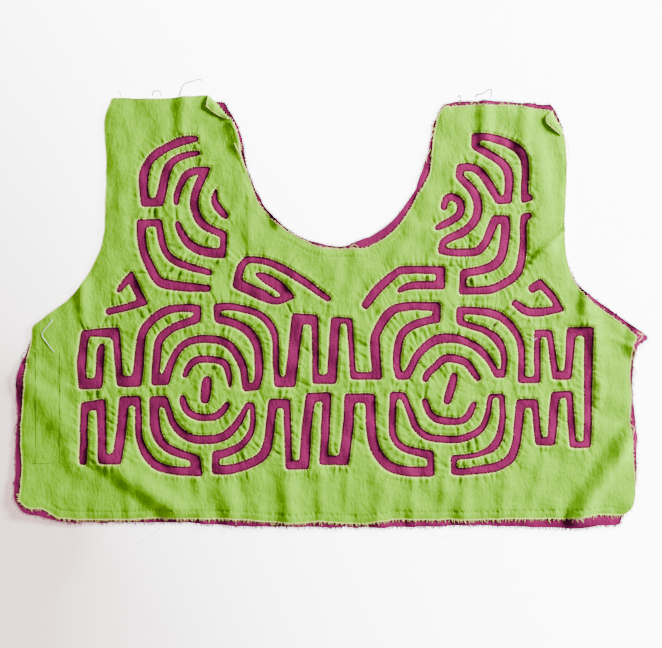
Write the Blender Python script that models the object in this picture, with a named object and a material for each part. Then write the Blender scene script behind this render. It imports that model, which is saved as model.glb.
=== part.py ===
"""Mola panel lying flat: a green top cloth cut through in channels, over a plum cloth that shows in them.

Lengths are in millimetres and MM turns them into metres.
X runs across the panel, +Y to the neck, +Z up off the floor.
The two cloths share one triangulation, so the gap between them is the same over flats and folds.
"""

import math

import bpy
from mathutils import Vector
from mathutils.geometry import delaunay_2d_cdt

MM = 0.001

# Driving dimensions, in millimetres
CLOTH = 1.0
LAYER_GAP = 0.3
CURVE_STEP = 7.0
OUTLINE_STEP = 9.0
GRID_STEP = 24.0
CLEAR_OF_EDGES = 2.5
CLEAR_OF_POINTS = 3.5
MITRE_LIMIT = 1.7
JOIN_REACH = 16.0
CDT_EPSILON = 1e-4

# Outlines: (x, y) is a point that a smooth edge passes through, (x, y, 1) is a corner.
# The top cloth, clockwise from the outer corner of the left strap
TOP_STRAP_LEFT = [
    (-165.5, 160.5, 1), (-136, 160), (-121, 160.5), (-92, 162.5, 1),
    (-79, 147), (-74, 142.5), (-68.5, 126), (-67, 115),
]
TOP_NECK = [
    (-61, 98.5), (-54.5, 81), (-45.5, 70), (-35.5, 62), (-23.5, 55), (-10.5, 49), (1.5, 47.5),
    (17, 47.5), (26.5, 48), (37, 53.5), (45, 59.5), (54, 69), (61, 81), (71.5, 99), (74.5, 109),
]
TOP_STRAP_RIGHT = [
    (76, 128.5), (78.5, 141.5), (81, 149), (85, 154, 1), (107.5, 154.5), (124, 155), (140, 154),
    (155, 151.5), (164.5, 150.5, 1), (173.5, 134.5), (176, 117), (175.5, 84),
]
TOP_ARMHOLE_RIGHT = [
    (174.5, 63), (175.5, 45), (182.5, 21), (191.5, 10.5), (202, 2), (215.5, -7.5), (229, -19, 1),
]
TOP_SIDE_RIGHT = [
    (226, -23.5), (223, -49), (224.5, -63.5), (223, -80), (226, -112), (227.5, -135), (225, -147),
    (220, -152, 1),
]
TOP_HEM = [
    (195.5, -152), (176.5, -154.5), (126.5, -155), (86.5, -155.5), (48.5, -155.5), (21.5, -158.5),
    (-7, -157), (-29.5, -158), (-75.5, -155), (-128.5, -154.5), (-163.5, -155.5), (-204, -154),
    (-217.5, -147), (-227, -146.5), (-233.5, -141, 1),
]
TOP_SIDE_LEFT = [
    (-231.5, -118), (-233, -96), (-231, -67.5), (-228.5, -38), (-225.5, -23), (-224.5, -10.5, 1),
]
TOP_ARMHOLE_LEFT = [
    (-215, -3.5), (-201.5, 6.5), (-191, 16), (-177.5, 37.5), (-171.5, 55), (-170, 79), (-169, 110),
    (-170.5, 144), (-166.5, 155),
]

# The under cloth, clockwise from the same corner, inside the top cloth where that hides it
UNDER_STRAP_LEFT = [
    (-162.5, 157.5, 1), (-136, 157.5), (-100, 158), (-80, 157, 1), (-71, 141.5), (-66.5, 127.5),
]
UNDER_NECK = [
    (-63.5, 110), (-52.5, 83.5), (-43.5, 72), (-28.5, 59), (-8, 51.5), (7, 49.5), (17.5, 52),
    (37, 61.5), (45, 68), (54, 79), (61, 89), (68, 107),
]
UNDER_STRAP_RIGHT = [
    (73.5, 125), (75, 137), (78, 145.5), (83.5, 155, 1), (95.5, 157.5), (128, 158), (156.5, 155.5),
    (164.5, 156, 1), (171, 144), (173.5, 134), (173, 117), (172.5, 84),
]
UNDER_ARMHOLE_RIGHT = [
    (171.5, 63), (173, 45), (181, 27), (188, 17.5), (196.5, 10.5), (219.5, -5.5), (237.5, -19.5, 1),
]
UNDER_SIDE_RIGHT = [
    (229, -25.5), (225.5, -50.5), (227, -81), (228.5, -113), (228, -128), (222, -142),
    (216, -159.5, 1),
]
UNDER_HEM = [
    (203, -160), (186, -162), (136, -161), (98, -160), (78.5, -161), (21.5, -161.5), (-22, -161),
    (-56.5, -161), (-98.5, -158.5), (-134, -157.5), (-178, -158), (-203, -157), (-219, -152.5),
    (-230, -150), (-237.5, -140, 1),
]
UNDER_SIDE_LEFT = [
    (-237, -125), (-236.5, -107), (-235.5, -73.5), (-236, -49), (-230, -33), (-222.5, -14.5, 1),
]
UNDER_ARMHOLE_LEFT = [
    (-212.5, -6), (-199, 4), (-188.5, 14), (-174.5, 38), (-168.5, 56), (-167, 79), (-166, 110),
    (-167.5, 143),
]

# Channels: (x, y, width) is a point that a smooth run passes through,
# (x, y, width before, width after) is a sharp turn, in millimetres.
SHOULDER_LEFT_OUTER = [
    (-99.5, 129.5, 4.2), (-106.5, 129, 6), (-116.5, 126.5, 6.5), (-127, 121, 6.5),
    (-135, 115, 6.5), (-139.5, 107, 7), (-141, 97.5, 7), (-139.5, 82, 7, 6.5),
    (-129, 82, 6.5, 7), (-127, 91, 7), (-123, 107, 6.5), (-118.5, 113, 5.5),
    (-110, 117.3, 5), (-98.3, 119.2, 3.8),
]
SHOULDER_LEFT_INNER = [
    (-116.5, 79.5, 4), (-116, 87, 5), (-113, 95.5, 5.5), (-108.5, 103, 6),
    (-100.5, 106, 6, 5), (-94.5, 106, 5, 6), (-98.5, 97.5, 6.5), (-102, 89, 6.5), (-103, 81, 6.5),
    (-100.5, 71.5, 6.5), (-94.5, 64, 6.5), (-80.5, 58, 5.5, 5), (-81.5, 43.5, 5, 7),
    (-98, 46, 7.5), (-106.5, 51, 7), (-112.5, 59, 6), (-116, 68, 4),
]
SHOULDER_LEFT_HOOK = [(-86.2, 93, 1.5), (-88, 83.5, 5.2), (-84, 76.8, 5.8), (-77.8, 70.2, 4.6)]
SHOULDER_LEFT_LOWER = [
    (-90.5, 17.5, 5), (-106.5, 18.5, 7), (-119, 20, 7.5), (-129.5, 23, 7), (-135.5, 33, 6.5),
    (-140.5, 45, 6.5), (-142.5, 56, 7), (-142.5, 66.5, 7, 5.5), (-129.5, 67, 5.5, 5.5),
    (-126, 48.5, 5.5), (-120.5, 40.5, 5.5), (-111.5, 35.5, 6), (-89.5, 29, 5),
]
SIDE_LEFT_HOOK = [
    (-160.5, 14.5, 3), (-155, 22, 5), (-150.5, 26.5, 5.5, 6), (-141.5, 7, 6.5, 5.5),
    (-156, 3, 5.5), (-169.3, -0.3, 5.4),
]
CHEST_LEFT = [
    (-1, 8.5, 4.5), (-21, 23, 6), (-36, 32, 6), (-48, 37.5, 5.5), (-63.5, 39.5, 4.5, 5),
    (-68, 33, 6), (-71, 21, 6.5, 8), (-59.5, 16, 8.5), (-49, 11, 8), (-41.5, 8, 5.5),
    (-32, 11.5, 5.5, 7), (-38.5, 18.5, 8), (-50.5, 26, 7), (-58, 29, 1.5),
]
CHEST_RIGHT = [
    (23.5, 3, 6), (35, 17.5, 7), (45.5, 27, 6.5), (51, 31.5, 5.5, 6), (81.5, 31.5, 6, 7),
    (81.5, 20, 7, 6.5), (62.5, 20, 6), (54, 18, 5), (49, 14.5, 3),
]
SHOULDER_RIGHT = [
    (150.5, 86, 5), (144.5, 84.5, 5, 5.5), (144.5, 95.5, 5.5), (145, 106, 5.5), (144, 115, 6),
    (138.5, 122.5, 6.5), (129, 127.5, 6.5), (118.5, 130.5, 6), (107.5, 131, 6, 6),
    (107.5, 124, 6, 5.5), (115, 120, 6), (123, 115, 6.5), (129.5, 109.5, 7), (132.5, 103, 7),
    (133, 94, 6.5), (131.5, 83.5, 6.5, 5.5), (125, 83.5, 5.5, 6), (120.5, 91, 6.5),
    (116, 98.5, 6.5), (110.5, 105.5, 6.5), (104, 108.5, 6), (96, 108, 5.5, 5.5),
    (95.5, 101.5, 5.5, 6), (102, 95, 6.5), (107.5, 88, 7), (109.5, 80.5, 7), (109, 72.5, 7),
    (104.5, 65, 6.5), (98, 59.5, 6.5), (88.5, 55.5, 6), (83, 52, 5.5, 5), (82, 46, 5, 5.5),
    (90, 44.5, 6), (100.5, 44.5, 6.5), (109, 45.5, 6.5), (115, 52, 6.5), (118.5, 59.5, 6.5),
    (122.5, 69.5, 6.5, 5.5), (130, 69.5, 5.5, 6.5), (130.5, 61.5, 7), (129, 50.5, 7),
    (126.5, 40.5, 7), (120.5, 34.5, 7), (110, 31, 6.5), (98.5, 29, 6, 5.5), (98, 16, 5.5, 6),
    (108.5, 16, 6), (119.5, 17, 6.5), (130.5, 22, 6.5), (138.5, 28.5, 6.5), (142, 38.5, 6),
    (143.5, 51, 5.5), (143.5, 64, 5.5), (144, 71.5, 5.5, 5), (150, 72.5, 5),
]
SHOULDER_RIGHT_HOOK = [
    (83.5, 76, 5), (86, 85, 5.5), (90, 86.5, 5.5), (95.5, 83.5, 6), (97, 79, 6), (95.5, 72.5, 6),
    (89.5, 68.5, 5.5), (82.5, 64.5, 5.5), (77, 62, 3),
]
SIDE_RIGHT_HOOK = [
    (148, 16, 6.5), (156, 21.5, 6.5, 5.5), (165.5, 11, 5.5), (170.5, 2.5, 5.5, 5.5),
    (157, 0, 6.5), (146, 0.5, 6.5), (140, 4.5, 6), (135, 8, 5),
]
UPPER_BAND_LEFT = [
    (-171.5, -23.5, 4), (-173, -30, 6), (-173.5, -40, 6), (-174.5, -53.5, 6, 8),
    (-186.5, -54, 8, 6.5), (-187, -36, 6.7), (-184.5, -15.8, 6.5, 4.4), (-161.5, -15.6, 8.4, 5.5),
    (-158.5, -52, 5.5, 8.2), (-146, -52, 8.2, 7.5), (-144.5, -40, 7.5), (-143.5, -27, 7), (-141.5, -16, 6.5),
    (-136, -7.5, 6.5), (-128.5, -1.5, 6.5), (-120.5, 2, 6), (-109, 3, 6), (-100.5, 2.5, 6, 5.5),
    (-100.5, -5.5, 5.5, 6), (-108.5, -8, 6), (-117.5, -11.5, 6), (-125.5, -16.5, 6.5),
    (-129.5, -22.5, 6.5), (-130.5, -30.5, 6.5), (-131.5, -40.5, 6.5), (-132, -50.8, 6.5, 8.4),
    (-124, -50.8, 8.4, 6), (-122, -43.5, 6), (-119, -35.5, 5.5), (-115, -28.5, 5.5),
    (-108.5, -23, 5.5), (-100, -20.5, 6), (-90.5, -20.5, 6), (-81.5, -22, 6.5),
    (-74.5, -27, 6.5), (-69.5, -34.5, 6.5), (-66, -42.5, 6), (-65, -50.5, 6),
    (-64, -56.5, 6, 6), (-56.5, -56, 6, 6), (-54.5, -47.5, 6.5), (-54.5, -37, 6.5),
    (-55.5, -27, 6.5), (-59, -18.5, 7), (-65, -12.5, 7), (-74, -8, 6.5), (-85.5, -5, 6.5, 5.5),
    (-86, 3.5, 5.5, 5.5), (-77.5, 4, 5.5), (-67.5, 2.5, 5.5), (-56, -1, 5.5), (-48.5, -6.5, 5.5),
    (-44, -13, 5.5), (-42, -21, 5), (-41.5, -40.5, 5), (-40.5, -52.5, 5, 8), (-31, -52.5, 8, 8.5),
]
UPPER_BAND_MIDDLE = [
    (-25.5, -5, 9, 7.5), (-12.5, -6, 7.5, 5), (-12, -50.5, 5, 7), (0, -50.5, 7, 7.5),
    (3, -6, 7.5, 4.5), (13.5, -6.5, 4.5, 4.5), (16, -48, 4.5, 5.5), (34, -48, 5.5, 7.5),
]
UPPER_BAND_RIGHT = [
    (33.5, -39.5, 7.5), (32.5, -27, 7.5), (32.5, -18.5, 7), (36.5, -10, 7), (40.5, -3.5, 7),
    (46, 1.5, 6.5), (51.5, 3.5, 6.5), (62.5, 4.5, 6.5), (78.5, 4, 6.5, 6), (78.5, -5.5, 6, 6),
    (73.5, -6, 6), (61, -10, 6), (53.5, -15.5, 6), (50.5, -22, 6), (49, -33, 6), (49, -42.5, 6),
    (50.5, -48, 6, 5.5), (56.5, -48, 5.5, 6), (60, -40.5, 6), (64, -33, 6), (70, -26.5, 6.5),
    (76, -22, 7), (81.5, -20, 7.5), (93, -20, 6.5), (104.5, -24, 5.5), (113.5, -30.5, 6),
    (119.5, -38.5, 5), (123.5, -46.5, 5, 6), (128.5, -46.5, 6, 4.5), (129, -32.5, 5),
    (124, -21, 6.5), (116, -14.5, 5.5), (104.5, -10.5, 5), (96, -7.5, 5, 5.5), (96, 1, 5.5, 6),
    (104, 1, 6), (118, -0.5, 6.5), (128, -4.5, 6.5), (139, -17, 5.5), (142, -26.5, 5.5),
    (142, -51, 5.5, 5), (154, -51, 5, 5), (154, -16, 5, 5.5), (163, -16, 5.5, 5),
    (167.5, -47.5, 5.5, 6.5), (177, -47.5, 6.5, 6), (179.5, -14.5, 7, 6.5), (192.5, -14.5, 6.5, 7),
]
LOWER_BAND_RIGHT = [
    (191.5, -99.5, 5.5, 4.5), (180.5, -99.5, 4.5, 5.5), (178, -61.5, 5, 5), (167.5, -62, 5, 7),
    (164.5, -97, 6.5, 6), (155, -97, 6, 5.5), (152, -68.5, 5, 6.5), (141.5, -68.5, 6.5, 7),
    (139.5, -87.5, 7), (138, -99, 6.5), (133.5, -110, 7), (124.5, -115.5, 6.5),
    (116, -117.5, 6.5), (98.5, -119.5, 5.5), (91.5, -119.5, 5.5, 4.5), (91.5, -109, 4.5, 3.5),
    (98.5, -108.5, 3.5), (110, -106.5, 4), (120.5, -101.5, 6), (125.5, -93.5, 6),
    (127.5, -84.5, 5), (128, -73, 4.5), (127, -62.5, 4.5, 3), (119, -63, 3, 4),
    (116, -79.5, 4.5), (111.5, -88, 5), (101.5, -93.5, 6), (93, -95.5, 5.5), (81.5, -95, 5.5),
    (73.5, -94, 5.5), (67.5, -91, 5.5), (63, -86, 5.5), (60, -78.5, 5.5), (56.5, -69, 5),
    (53.5, -62.5, 5, 5.5), (46, -62.5, 5.5, 5.5), (45.5, -85, 5.5), (46, -92.5, 5.5),
    (50, -99, 5.5), (56.5, -103, 5.5), (65, -105, 6), (74, -107, 7, 5), (74.5, -119.5, 5, 7.5),
    (60.5, -119.5, 7.5), (47.5, -117.5, 7.5), (40, -113, 7.5), (34, -105, 7.5), (31, -97, 7.5),
    (29.5, -85, 7.5), (29, -64.5, 7.5, 7),
]
LOWER_BAND_MIDDLE = [
    (13.5, -64.5, 7, 8), (12, -88.5, 8), (9, -111.5, 8, 7), (-6, -111, 7, 6.5),
    (-3.5, -63.5, 6.5, 7), (-16, -64, 7, 7.5), (-18.5, -85, 7.5), (-20.5, -114.5, 7.5, 7),
    (-32, -114.5, 7, 5.5), (-33.5, -68.5, 5.5, 7), (-44, -68.5, 7, 7),
]
LOWER_BAND_LEFT = [
    (-46, -85, 7), (-47, -94.5, 7), (-50.5, -106, 7.5), (-56, -111, 7), (-65.5, -115, 7),
    (-77.5, -118, 7), (-87, -118, 7, 5.5), (-87, -107, 5.5, 6.5), (-77.5, -105, 6.5),
    (-69.5, -101, 5.5), (-62.5, -94, 5), (-59.5, -86, 4.5), (-59, -77.5, 4), (-59.5, -70, 4, 4),
    (-63, -69.5, 4, 4), (-66, -76, 5), (-71, -84, 6), (-77.5, -91, 6.5), (-85.5, -95, 6.5),
    (-94, -95.5, 6.5), (-101.5, -95.5, 6.5), (-108.5, -93, 6.5), (-115, -88, 6), (-119.5, -82, 5.5),
    (-122, -74, 5.5), (-124.5, -66.9, 5.5, 8.2), (-133, -67.2, 8.2, 7.5), (-132.5, -85, 7.5),
    (-130.5, -92.5, 7.5), (-125.5, -99.5, 7), (-119, -104, 6.5), (-111, -107, 6),
    (-102.5, -109, 5, 8), (-101, -119.5, 8, 6.5), (-114.5, -119, 6.5), (-128, -116.5, 6.5),
    (-135, -111.5, 6.5), (-140.5, -104, 6), (-144, -94.5, 5), (-144.5, -85, 5),
    (-145, -66.3, 5, 7.2), (-155.5, -66.6, 7.2, 7.5), (-157.5, -88.5, 7.5), (-160.5, -110.2, 7.5, 7.6),
    (-171.5, -110, 7.6, 6.5), (-172.5, -69, 7, 7), (-185, -71, 7, 6), (-186, -114.5, 6),
]
ROUNDEL_LEFT_UPPER = [
    (-110.5, -49.5, 4), (-108.5, -44, 5), (-105, -38.5, 5.5), (-99.5, -35.5, 5.5),
    (-92, -35.5, 5.5), (-84, -36.5, 5.5), (-80, -38, 5.5), (-77.5, -44, 5), (-76.5, -50.5, 4),
    (-76, -58, 1),
]
ROUNDEL_LEFT_BAR = [(-92.6, -48, 5), (-93.3, -52, 7.2), (-94.8, -64.5, 7.6), (-95.4, -68.6, 5.8)]
ROUNDEL_LEFT_LOWER = [
    (-112, -62, 4), (-111, -68, 5.5), (-108, -74, 5.5), (-103.5, -77.5, 5.5), (-95.5, -79, 5.5),
    (-87.5, -78.5, 5.5), (-82, -74.5, 5.5), (-77, -67.5, 4.5),
]
ROUNDEL_RIGHT_UPPER = [
    (69.5, -52.5, 5), (71.5, -47, 5.5), (77.5, -41, 5.5), (83.5, -35.5, 6), (90, -34.5, 6.5),
    (101, -38, 6), (106, -44.5, 5.5), (110.5, -51.5, 4.5),
]
ROUNDEL_RIGHT_BAR = [(92.6, -45.6, 4.4), (91.4, -49.5, 6.2), (87, -65, 6.4), (85.8, -69.4, 4.8)]
ROUNDEL_RIGHT_LOWER = [
    (69, -64.5, 4.5), (71.5, -72, 5.5), (76, -78.5, 5.5), (81.5, -81, 6), (92.5, -82, 5.5),
    (98.5, -81, 5.5), (102.5, -77.5, 5.5), (104.5, -73.5, 5.5), (107.5, -67, 4),
]
LABYRINTH = (
    UPPER_BAND_LEFT + UPPER_BAND_MIDDLE + UPPER_BAND_RIGHT
    + LOWER_BAND_RIGHT + LOWER_BAND_MIDDLE + LOWER_BAND_LEFT
)
CHANNELS = [
    SHOULDER_LEFT_OUTER, SHOULDER_LEFT_INNER, SHOULDER_LEFT_HOOK, SHOULDER_LEFT_LOWER,
    SIDE_LEFT_HOOK, CHEST_LEFT, CHEST_RIGHT, SHOULDER_RIGHT, SHOULDER_RIGHT_HOOK, SIDE_RIGHT_HOOK,
    LABYRINTH, ROUNDEL_LEFT_UPPER, ROUNDEL_LEFT_BAR, ROUNDEL_LEFT_LOWER,
    ROUNDEL_RIGHT_UPPER, ROUNDEL_RIGHT_BAR, ROUNDEL_RIGHT_LOWER,
]

# Folds that lift both cloths off the floor, each a rounded ridge along a line:
# x0, y0, x1, y1, half width, height
FOLDS = [
    (-176, -108, -118, -148, 12, 3.4),
    (-80, -118, -76, -156, 9, 2.2),
    (-33, -122, -31, -158, 9, 2.6),
    (38, -124, 37, -158, 9, 2.0),
    (100, -128, 98, -156, 9, 1.4),
    (222, -92, 184, -150, 12, 3.6),
    (152, 35, 178, 64, 8, 2.0),
    (193, 14, 190, -6, 9, 2.6),
    (116, 128, 115, 158, 9, 2.4),
    (143, 120, 146, 156, 8, 1.8),
    (-112, 136, -111, 160, 9, 2.2),
    (-92, 162, -72, 138, 9, 4.5),
    (166, 150, 174, 134, 9, 4.0),
]

TOP_COLOUR = (0.34, 0.60, 0.08, 1)
UNDER_COLOUR = (0.38, 0.03, 0.17, 1)


def hermite(p0, p1, m0, m1, t):
    """A point on the cubic from p0 to p1 with end slopes m0 and m1."""
    a = 2 * t**3 - 3 * t**2 + 1
    b = t**3 - 2 * t**2 + t
    c = 3 * t**2 - 2 * t**3
    d = t**3 - t**2
    return p0 * a + m0 * b + p1 * c + m1 * d


def smooth(points, step):
    """Points every step along a smooth curve through these, which may hold a width as z."""
    if len(points) == 2:
        return list(points)
    chords = [(b.xy - a.xy).length for a, b in zip(points, points[1:])]
    slopes = []
    for i in range(len(points)):
        low = max(i - 1, 0)
        high = min(i + 1, len(points) - 1)
        slopes.append((points[high] - points[low]) / sum(chords[low:high]))
    curve = [points[0]]
    for i, chord in enumerate(chords):
        count = max(1, round(chord / step))
        for k in range(1, count + 1):
            at = hermite(points[i], points[i + 1], slopes[i] * chord, slopes[i + 1] * chord, k / count)
            curve.append(at)
    return curve


def split_runs(rows):
    """The smooth runs of a channel, cut at its sharp turns, as (x, y, width) points."""
    runs = [[]]
    for row in rows:
        runs[-1].append(Vector(row[:3]))
        if len(row) == 4:
            runs.append([Vector((row[0], row[1], row[3]))])
    return runs


def side_line(curve, side):
    """The curve moved sideways by half its width, to its left for side 1."""
    line = []
    for i, at in enumerate(curve):
        ahead = curve[min(i + 1, len(curve) - 1)].xy - curve[max(i - 1, 0)].xy
        normal = Vector((-ahead.y, ahead.x)).normalized()
        line.append(at.xy + normal * side * at.z / 2)
    return line


def crossing(a, b, c, d):
    """Where segment a to b crosses segment c to d, or None."""
    u = b - a
    v = d - c
    area = u.cross(v)
    if abs(area) < 1e-9:
        return None
    s = (c - a).cross(v) / area
    t = (c - a).cross(u) / area
    if 0 <= s <= 1 and 0 <= t <= 1:
        return a + u * s
    return None


def meeting(a, b, c, d):
    """Where the line through a and b meets the line through c and d, or None."""
    area = (b - a).cross(d - c)
    if abs(area) < 1e-6:
        return None
    return a + (b - a) * ((c - a).cross(d - c) / area)


def join(done, new, turn, reach):
    """One line from two: cut where they cross on the inside of a turn, mitred on its outside."""
    for i in range(max(0, len(done) - 2), -1, -1):
        if (done[i + 1] - turn).length > reach:
            break
        for k in range(len(new) - 1):
            if (new[k] - turn).length > reach:
                break
            at = crossing(done[i], done[i + 1], new[k], new[k + 1])
            if at:
                return done[: i + 1] + [at] + new[k + 1 :]
    at = meeting(done[-2], done[-1], new[0], new[1])
    limit = MITRE_LIMIT * max((done[-1] - turn).length, (new[0] - turn).length)
    if at and (at - turn).length < limit:
        return done[:-1] + [at] + new[1:]
    return done + new


def channel_loop(rows, step):
    """The closed outline of a channel."""
    sides = {1: [], -1: []}
    for run in split_runs(rows):
        curve = smooth(run, step)
        for side, line in sides.items():
            new = side_line(curve, side)
            sides[side] = join(line, new, run[0].xy, JOIN_REACH) if line else new
    return sides[-1] + sides[1][::-1]


def outline_loop(rows, step):
    """The closed outline of a cloth, whose first row is a corner."""
    loop = []
    run = []
    for row in rows + rows[:1]:
        run.append(Vector((row[0], row[1], 0)))
        if len(row) == 3 and len(run) > 1:
            loop += [at.xy for at in smooth(run, step)[:-1]]
            run = run[-1:]
    return loop[::-1]


def from_segment(at, a, b):
    """How far a point is from the segment a to b."""
    along = (at - a).dot(b - a) / (b - a).length_squared
    return (at - a - (b - a) * min(1, max(0, along))).length


def fold_height(at):
    """How far the folds lift the cloth at a point."""
    height = 0
    for x0, y0, x1, y1, half_width, rise in FOLDS:
        away = from_segment(at, Vector((x0, y0)), Vector((x1, y1)))
        if away < half_width:
            height = max(height, rise * (1 + math.cos(math.pi * away / half_width)) / 2)
    return height


def inner_points(loops):
    """Loose points for the triangulation: denser over the folds, clear of every edge."""
    wanted = []
    for x0, y0, x1, y1, half_width, _ in FOLDS:
        start = Vector((x0, y0))
        along = Vector((x1, y1)) - start
        count = math.ceil(along.length / half_width)
        across = Vector((-along.y, along.x)).normalized() * half_width
        for i in range(-1, count + 2):
            for share in (0, -0.5, 0.5, -1, 1):
                wanted.append(start + along * i / count + across * share)
    for column in range(-10, 11):
        for line in range(-7, 8):
            wanted.append(Vector((column * GRID_STEP, line * GRID_STEP)))
    kept = []
    edges = [pair for loop in loops for pair in zip(loop, loop[1:] + loop[:1])]
    for at in wanted:
        if any((at - other).length < CLEAR_OF_POINTS for other in kept):
            continue
        if all(from_segment(at, a, b) > CLEAR_OF_EDGES for a, b in edges):
            kept.append(at)
    return kept


def triangulate(loops):
    """One triangulation of every loop: its points, its triangles and the loops each lies in."""
    points = []
    faces = []
    for loop in loops:
        faces.append(range(len(points), len(points) + len(loop)))
        points += loop
    points += inner_points(loops)
    found = delaunay_2d_cdt(points, [], [list(face) for face in faces], 0, CDT_EPSILON)
    return found[0], found[2], [set(inside) for inside in found[5]]


def material(name, colour):
    made = bpy.data.materials.new(name)
    made.use_nodes = True
    shader = made.node_tree.nodes["Principled BSDF"]
    shader.inputs["Base Color"].default_value = colour
    shader.inputs["Roughness"].default_value = 0.9
    made.diffuse_color = colour
    return made


def cloth(name, points, triangles, low, colour):
    """A sheet over these triangles: its underside at low plus the fold, its face CLOTH above."""
    used = sorted({i for triangle in triangles for i in triangle})
    place = {i: k for k, i in enumerate(used)}
    count = len(used)
    lower = []
    for i in used:
        lower.append((points[i].x * MM, points[i].y * MM, (low + fold_height(points[i])) * MM))
    upper = [(x, y, z + CLOTH * MM) for x, y, z in lower]
    faces = []
    edges = set()
    for triangle in triangles:
        a, b, c = [place[i] for i in triangle]
        faces.append((a + count, b + count, c + count))
        faces.append((c, b, a))
        edges |= {(a, b), (b, c), (c, a)}
    for a, b in edges:
        if (b, a) not in edges:
            faces.append((a, b, b + count, a + count))
    mesh = bpy.data.meshes.new(name)
    mesh.from_pydata(lower + upper, [], faces)
    mesh.materials.append(material(name, colour))
    bpy.context.scene.collection.objects.link(bpy.data.objects.new(name, mesh))


def build():
    for old in list(bpy.data.objects):
        bpy.data.objects.remove(old)
    top = outline_loop(
        TOP_STRAP_LEFT + TOP_NECK + TOP_STRAP_RIGHT + TOP_ARMHOLE_RIGHT
        + TOP_SIDE_RIGHT + TOP_HEM + TOP_SIDE_LEFT + TOP_ARMHOLE_LEFT,
        OUTLINE_STEP,
    )
    under = outline_loop(
        UNDER_STRAP_LEFT + UNDER_NECK + UNDER_STRAP_RIGHT + UNDER_ARMHOLE_RIGHT
        + UNDER_SIDE_RIGHT + UNDER_HEM + UNDER_SIDE_LEFT + UNDER_ARMHOLE_LEFT,
        OUTLINE_STEP,
    )
    channels = [channel_loop(rows, CURVE_STEP) for rows in CHANNELS]
    points, triangles, inside = triangulate([top, under] + channels)
    in_under = [t for t, loops in zip(triangles, inside) if 1 in loops]
    in_top = [t for t, loops in zip(triangles, inside) if 0 in loops and max(loops) < 2]
    cloth("under_cloth", points, in_under, 0, UNDER_COLOUR)
    cloth("top_cloth", points, in_top, CLOTH + LAYER_GAP, TOP_COLOUR)


build()
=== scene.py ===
"""Looks of the mola panel: two cotton cloths, turned channel edges, stitches, fray and threads."""

import math

import bpy
import numpy as np
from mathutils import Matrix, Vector, kdtree
from mathutils.geometry import delaunay_2d_cdt


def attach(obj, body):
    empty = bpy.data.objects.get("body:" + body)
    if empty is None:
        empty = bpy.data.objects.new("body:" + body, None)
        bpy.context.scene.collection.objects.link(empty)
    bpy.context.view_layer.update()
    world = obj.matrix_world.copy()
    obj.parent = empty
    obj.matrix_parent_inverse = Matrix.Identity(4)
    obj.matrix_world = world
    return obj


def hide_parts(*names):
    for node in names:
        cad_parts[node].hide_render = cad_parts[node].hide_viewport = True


MM = 0.001

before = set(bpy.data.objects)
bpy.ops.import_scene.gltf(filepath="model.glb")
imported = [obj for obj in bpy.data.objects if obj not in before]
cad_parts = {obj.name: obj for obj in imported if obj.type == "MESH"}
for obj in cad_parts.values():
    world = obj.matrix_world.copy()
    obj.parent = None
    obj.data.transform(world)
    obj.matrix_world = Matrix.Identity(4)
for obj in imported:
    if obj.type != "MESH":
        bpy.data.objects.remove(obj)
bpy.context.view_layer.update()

# Lengths below are in millimetres, and the tables repeat the CAD part's.
CDT_EPSILON = 1e-4
MITRE_LIMIT = 1.7
JOIN_REACH = 16.0

# Outlines: (x, y) is a point that a smooth edge passes through, (x, y, 1) is a corner.
# The top cloth, clockwise from the outer corner of the left strap
TOP_STRAP_LEFT = [
    (-165.5, 160.5, 1), (-136, 160), (-121, 160.5), (-92, 162.5, 1),
    (-79, 147), (-74, 142.5), (-68.5, 126), (-67, 115),
]
TOP_NECK = [
    (-61, 98.5), (-54.5, 81), (-45.5, 70), (-35.5, 62), (-23.5, 55), (-10.5, 49), (1.5, 47.5),
    (17, 47.5), (26.5, 48), (37, 53.5), (45, 59.5), (54, 69), (61, 81), (71.5, 99), (74.5, 109),
]
TOP_STRAP_RIGHT = [
    (76, 128.5), (78.5, 141.5), (81, 149), (85, 154, 1), (107.5, 154.5), (124, 155), (140, 154),
    (155, 151.5), (164.5, 150.5, 1), (173.5, 134.5), (176, 117), (175.5, 84),
]
TOP_ARMHOLE_RIGHT = [
    (174.5, 63), (175.5, 45), (182.5, 21), (191.5, 10.5), (202, 2), (215.5, -7.5), (229, -19, 1),
]
TOP_SIDE_RIGHT = [
    (226, -23.5), (223, -49), (224.5, -63.5), (223, -80), (226, -112), (227.5, -135), (225, -147),
    (220, -152, 1),
]
TOP_HEM = [
    (195.5, -152), (176.5, -154.5), (126.5, -155), (86.5, -155.5), (48.5, -155.5), (21.5, -158.5),
    (-7, -157), (-29.5, -158), (-75.5, -155), (-128.5, -154.5), (-163.5, -155.5), (-204, -154),
    (-217.5, -147), (-227, -146.5), (-233.5, -141, 1),
]
TOP_SIDE_LEFT = [
    (-231.5, -118), (-233, -96), (-231, -67.5), (-228.5, -38), (-225.5, -23), (-224.5, -10.5, 1),
]
TOP_ARMHOLE_LEFT = [
    (-215, -3.5), (-201.5, 6.5), (-191, 16), (-177.5, 37.5), (-171.5, 55), (-170, 79), (-169, 110),
    (-170.5, 144), (-166.5, 155),
]

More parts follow.
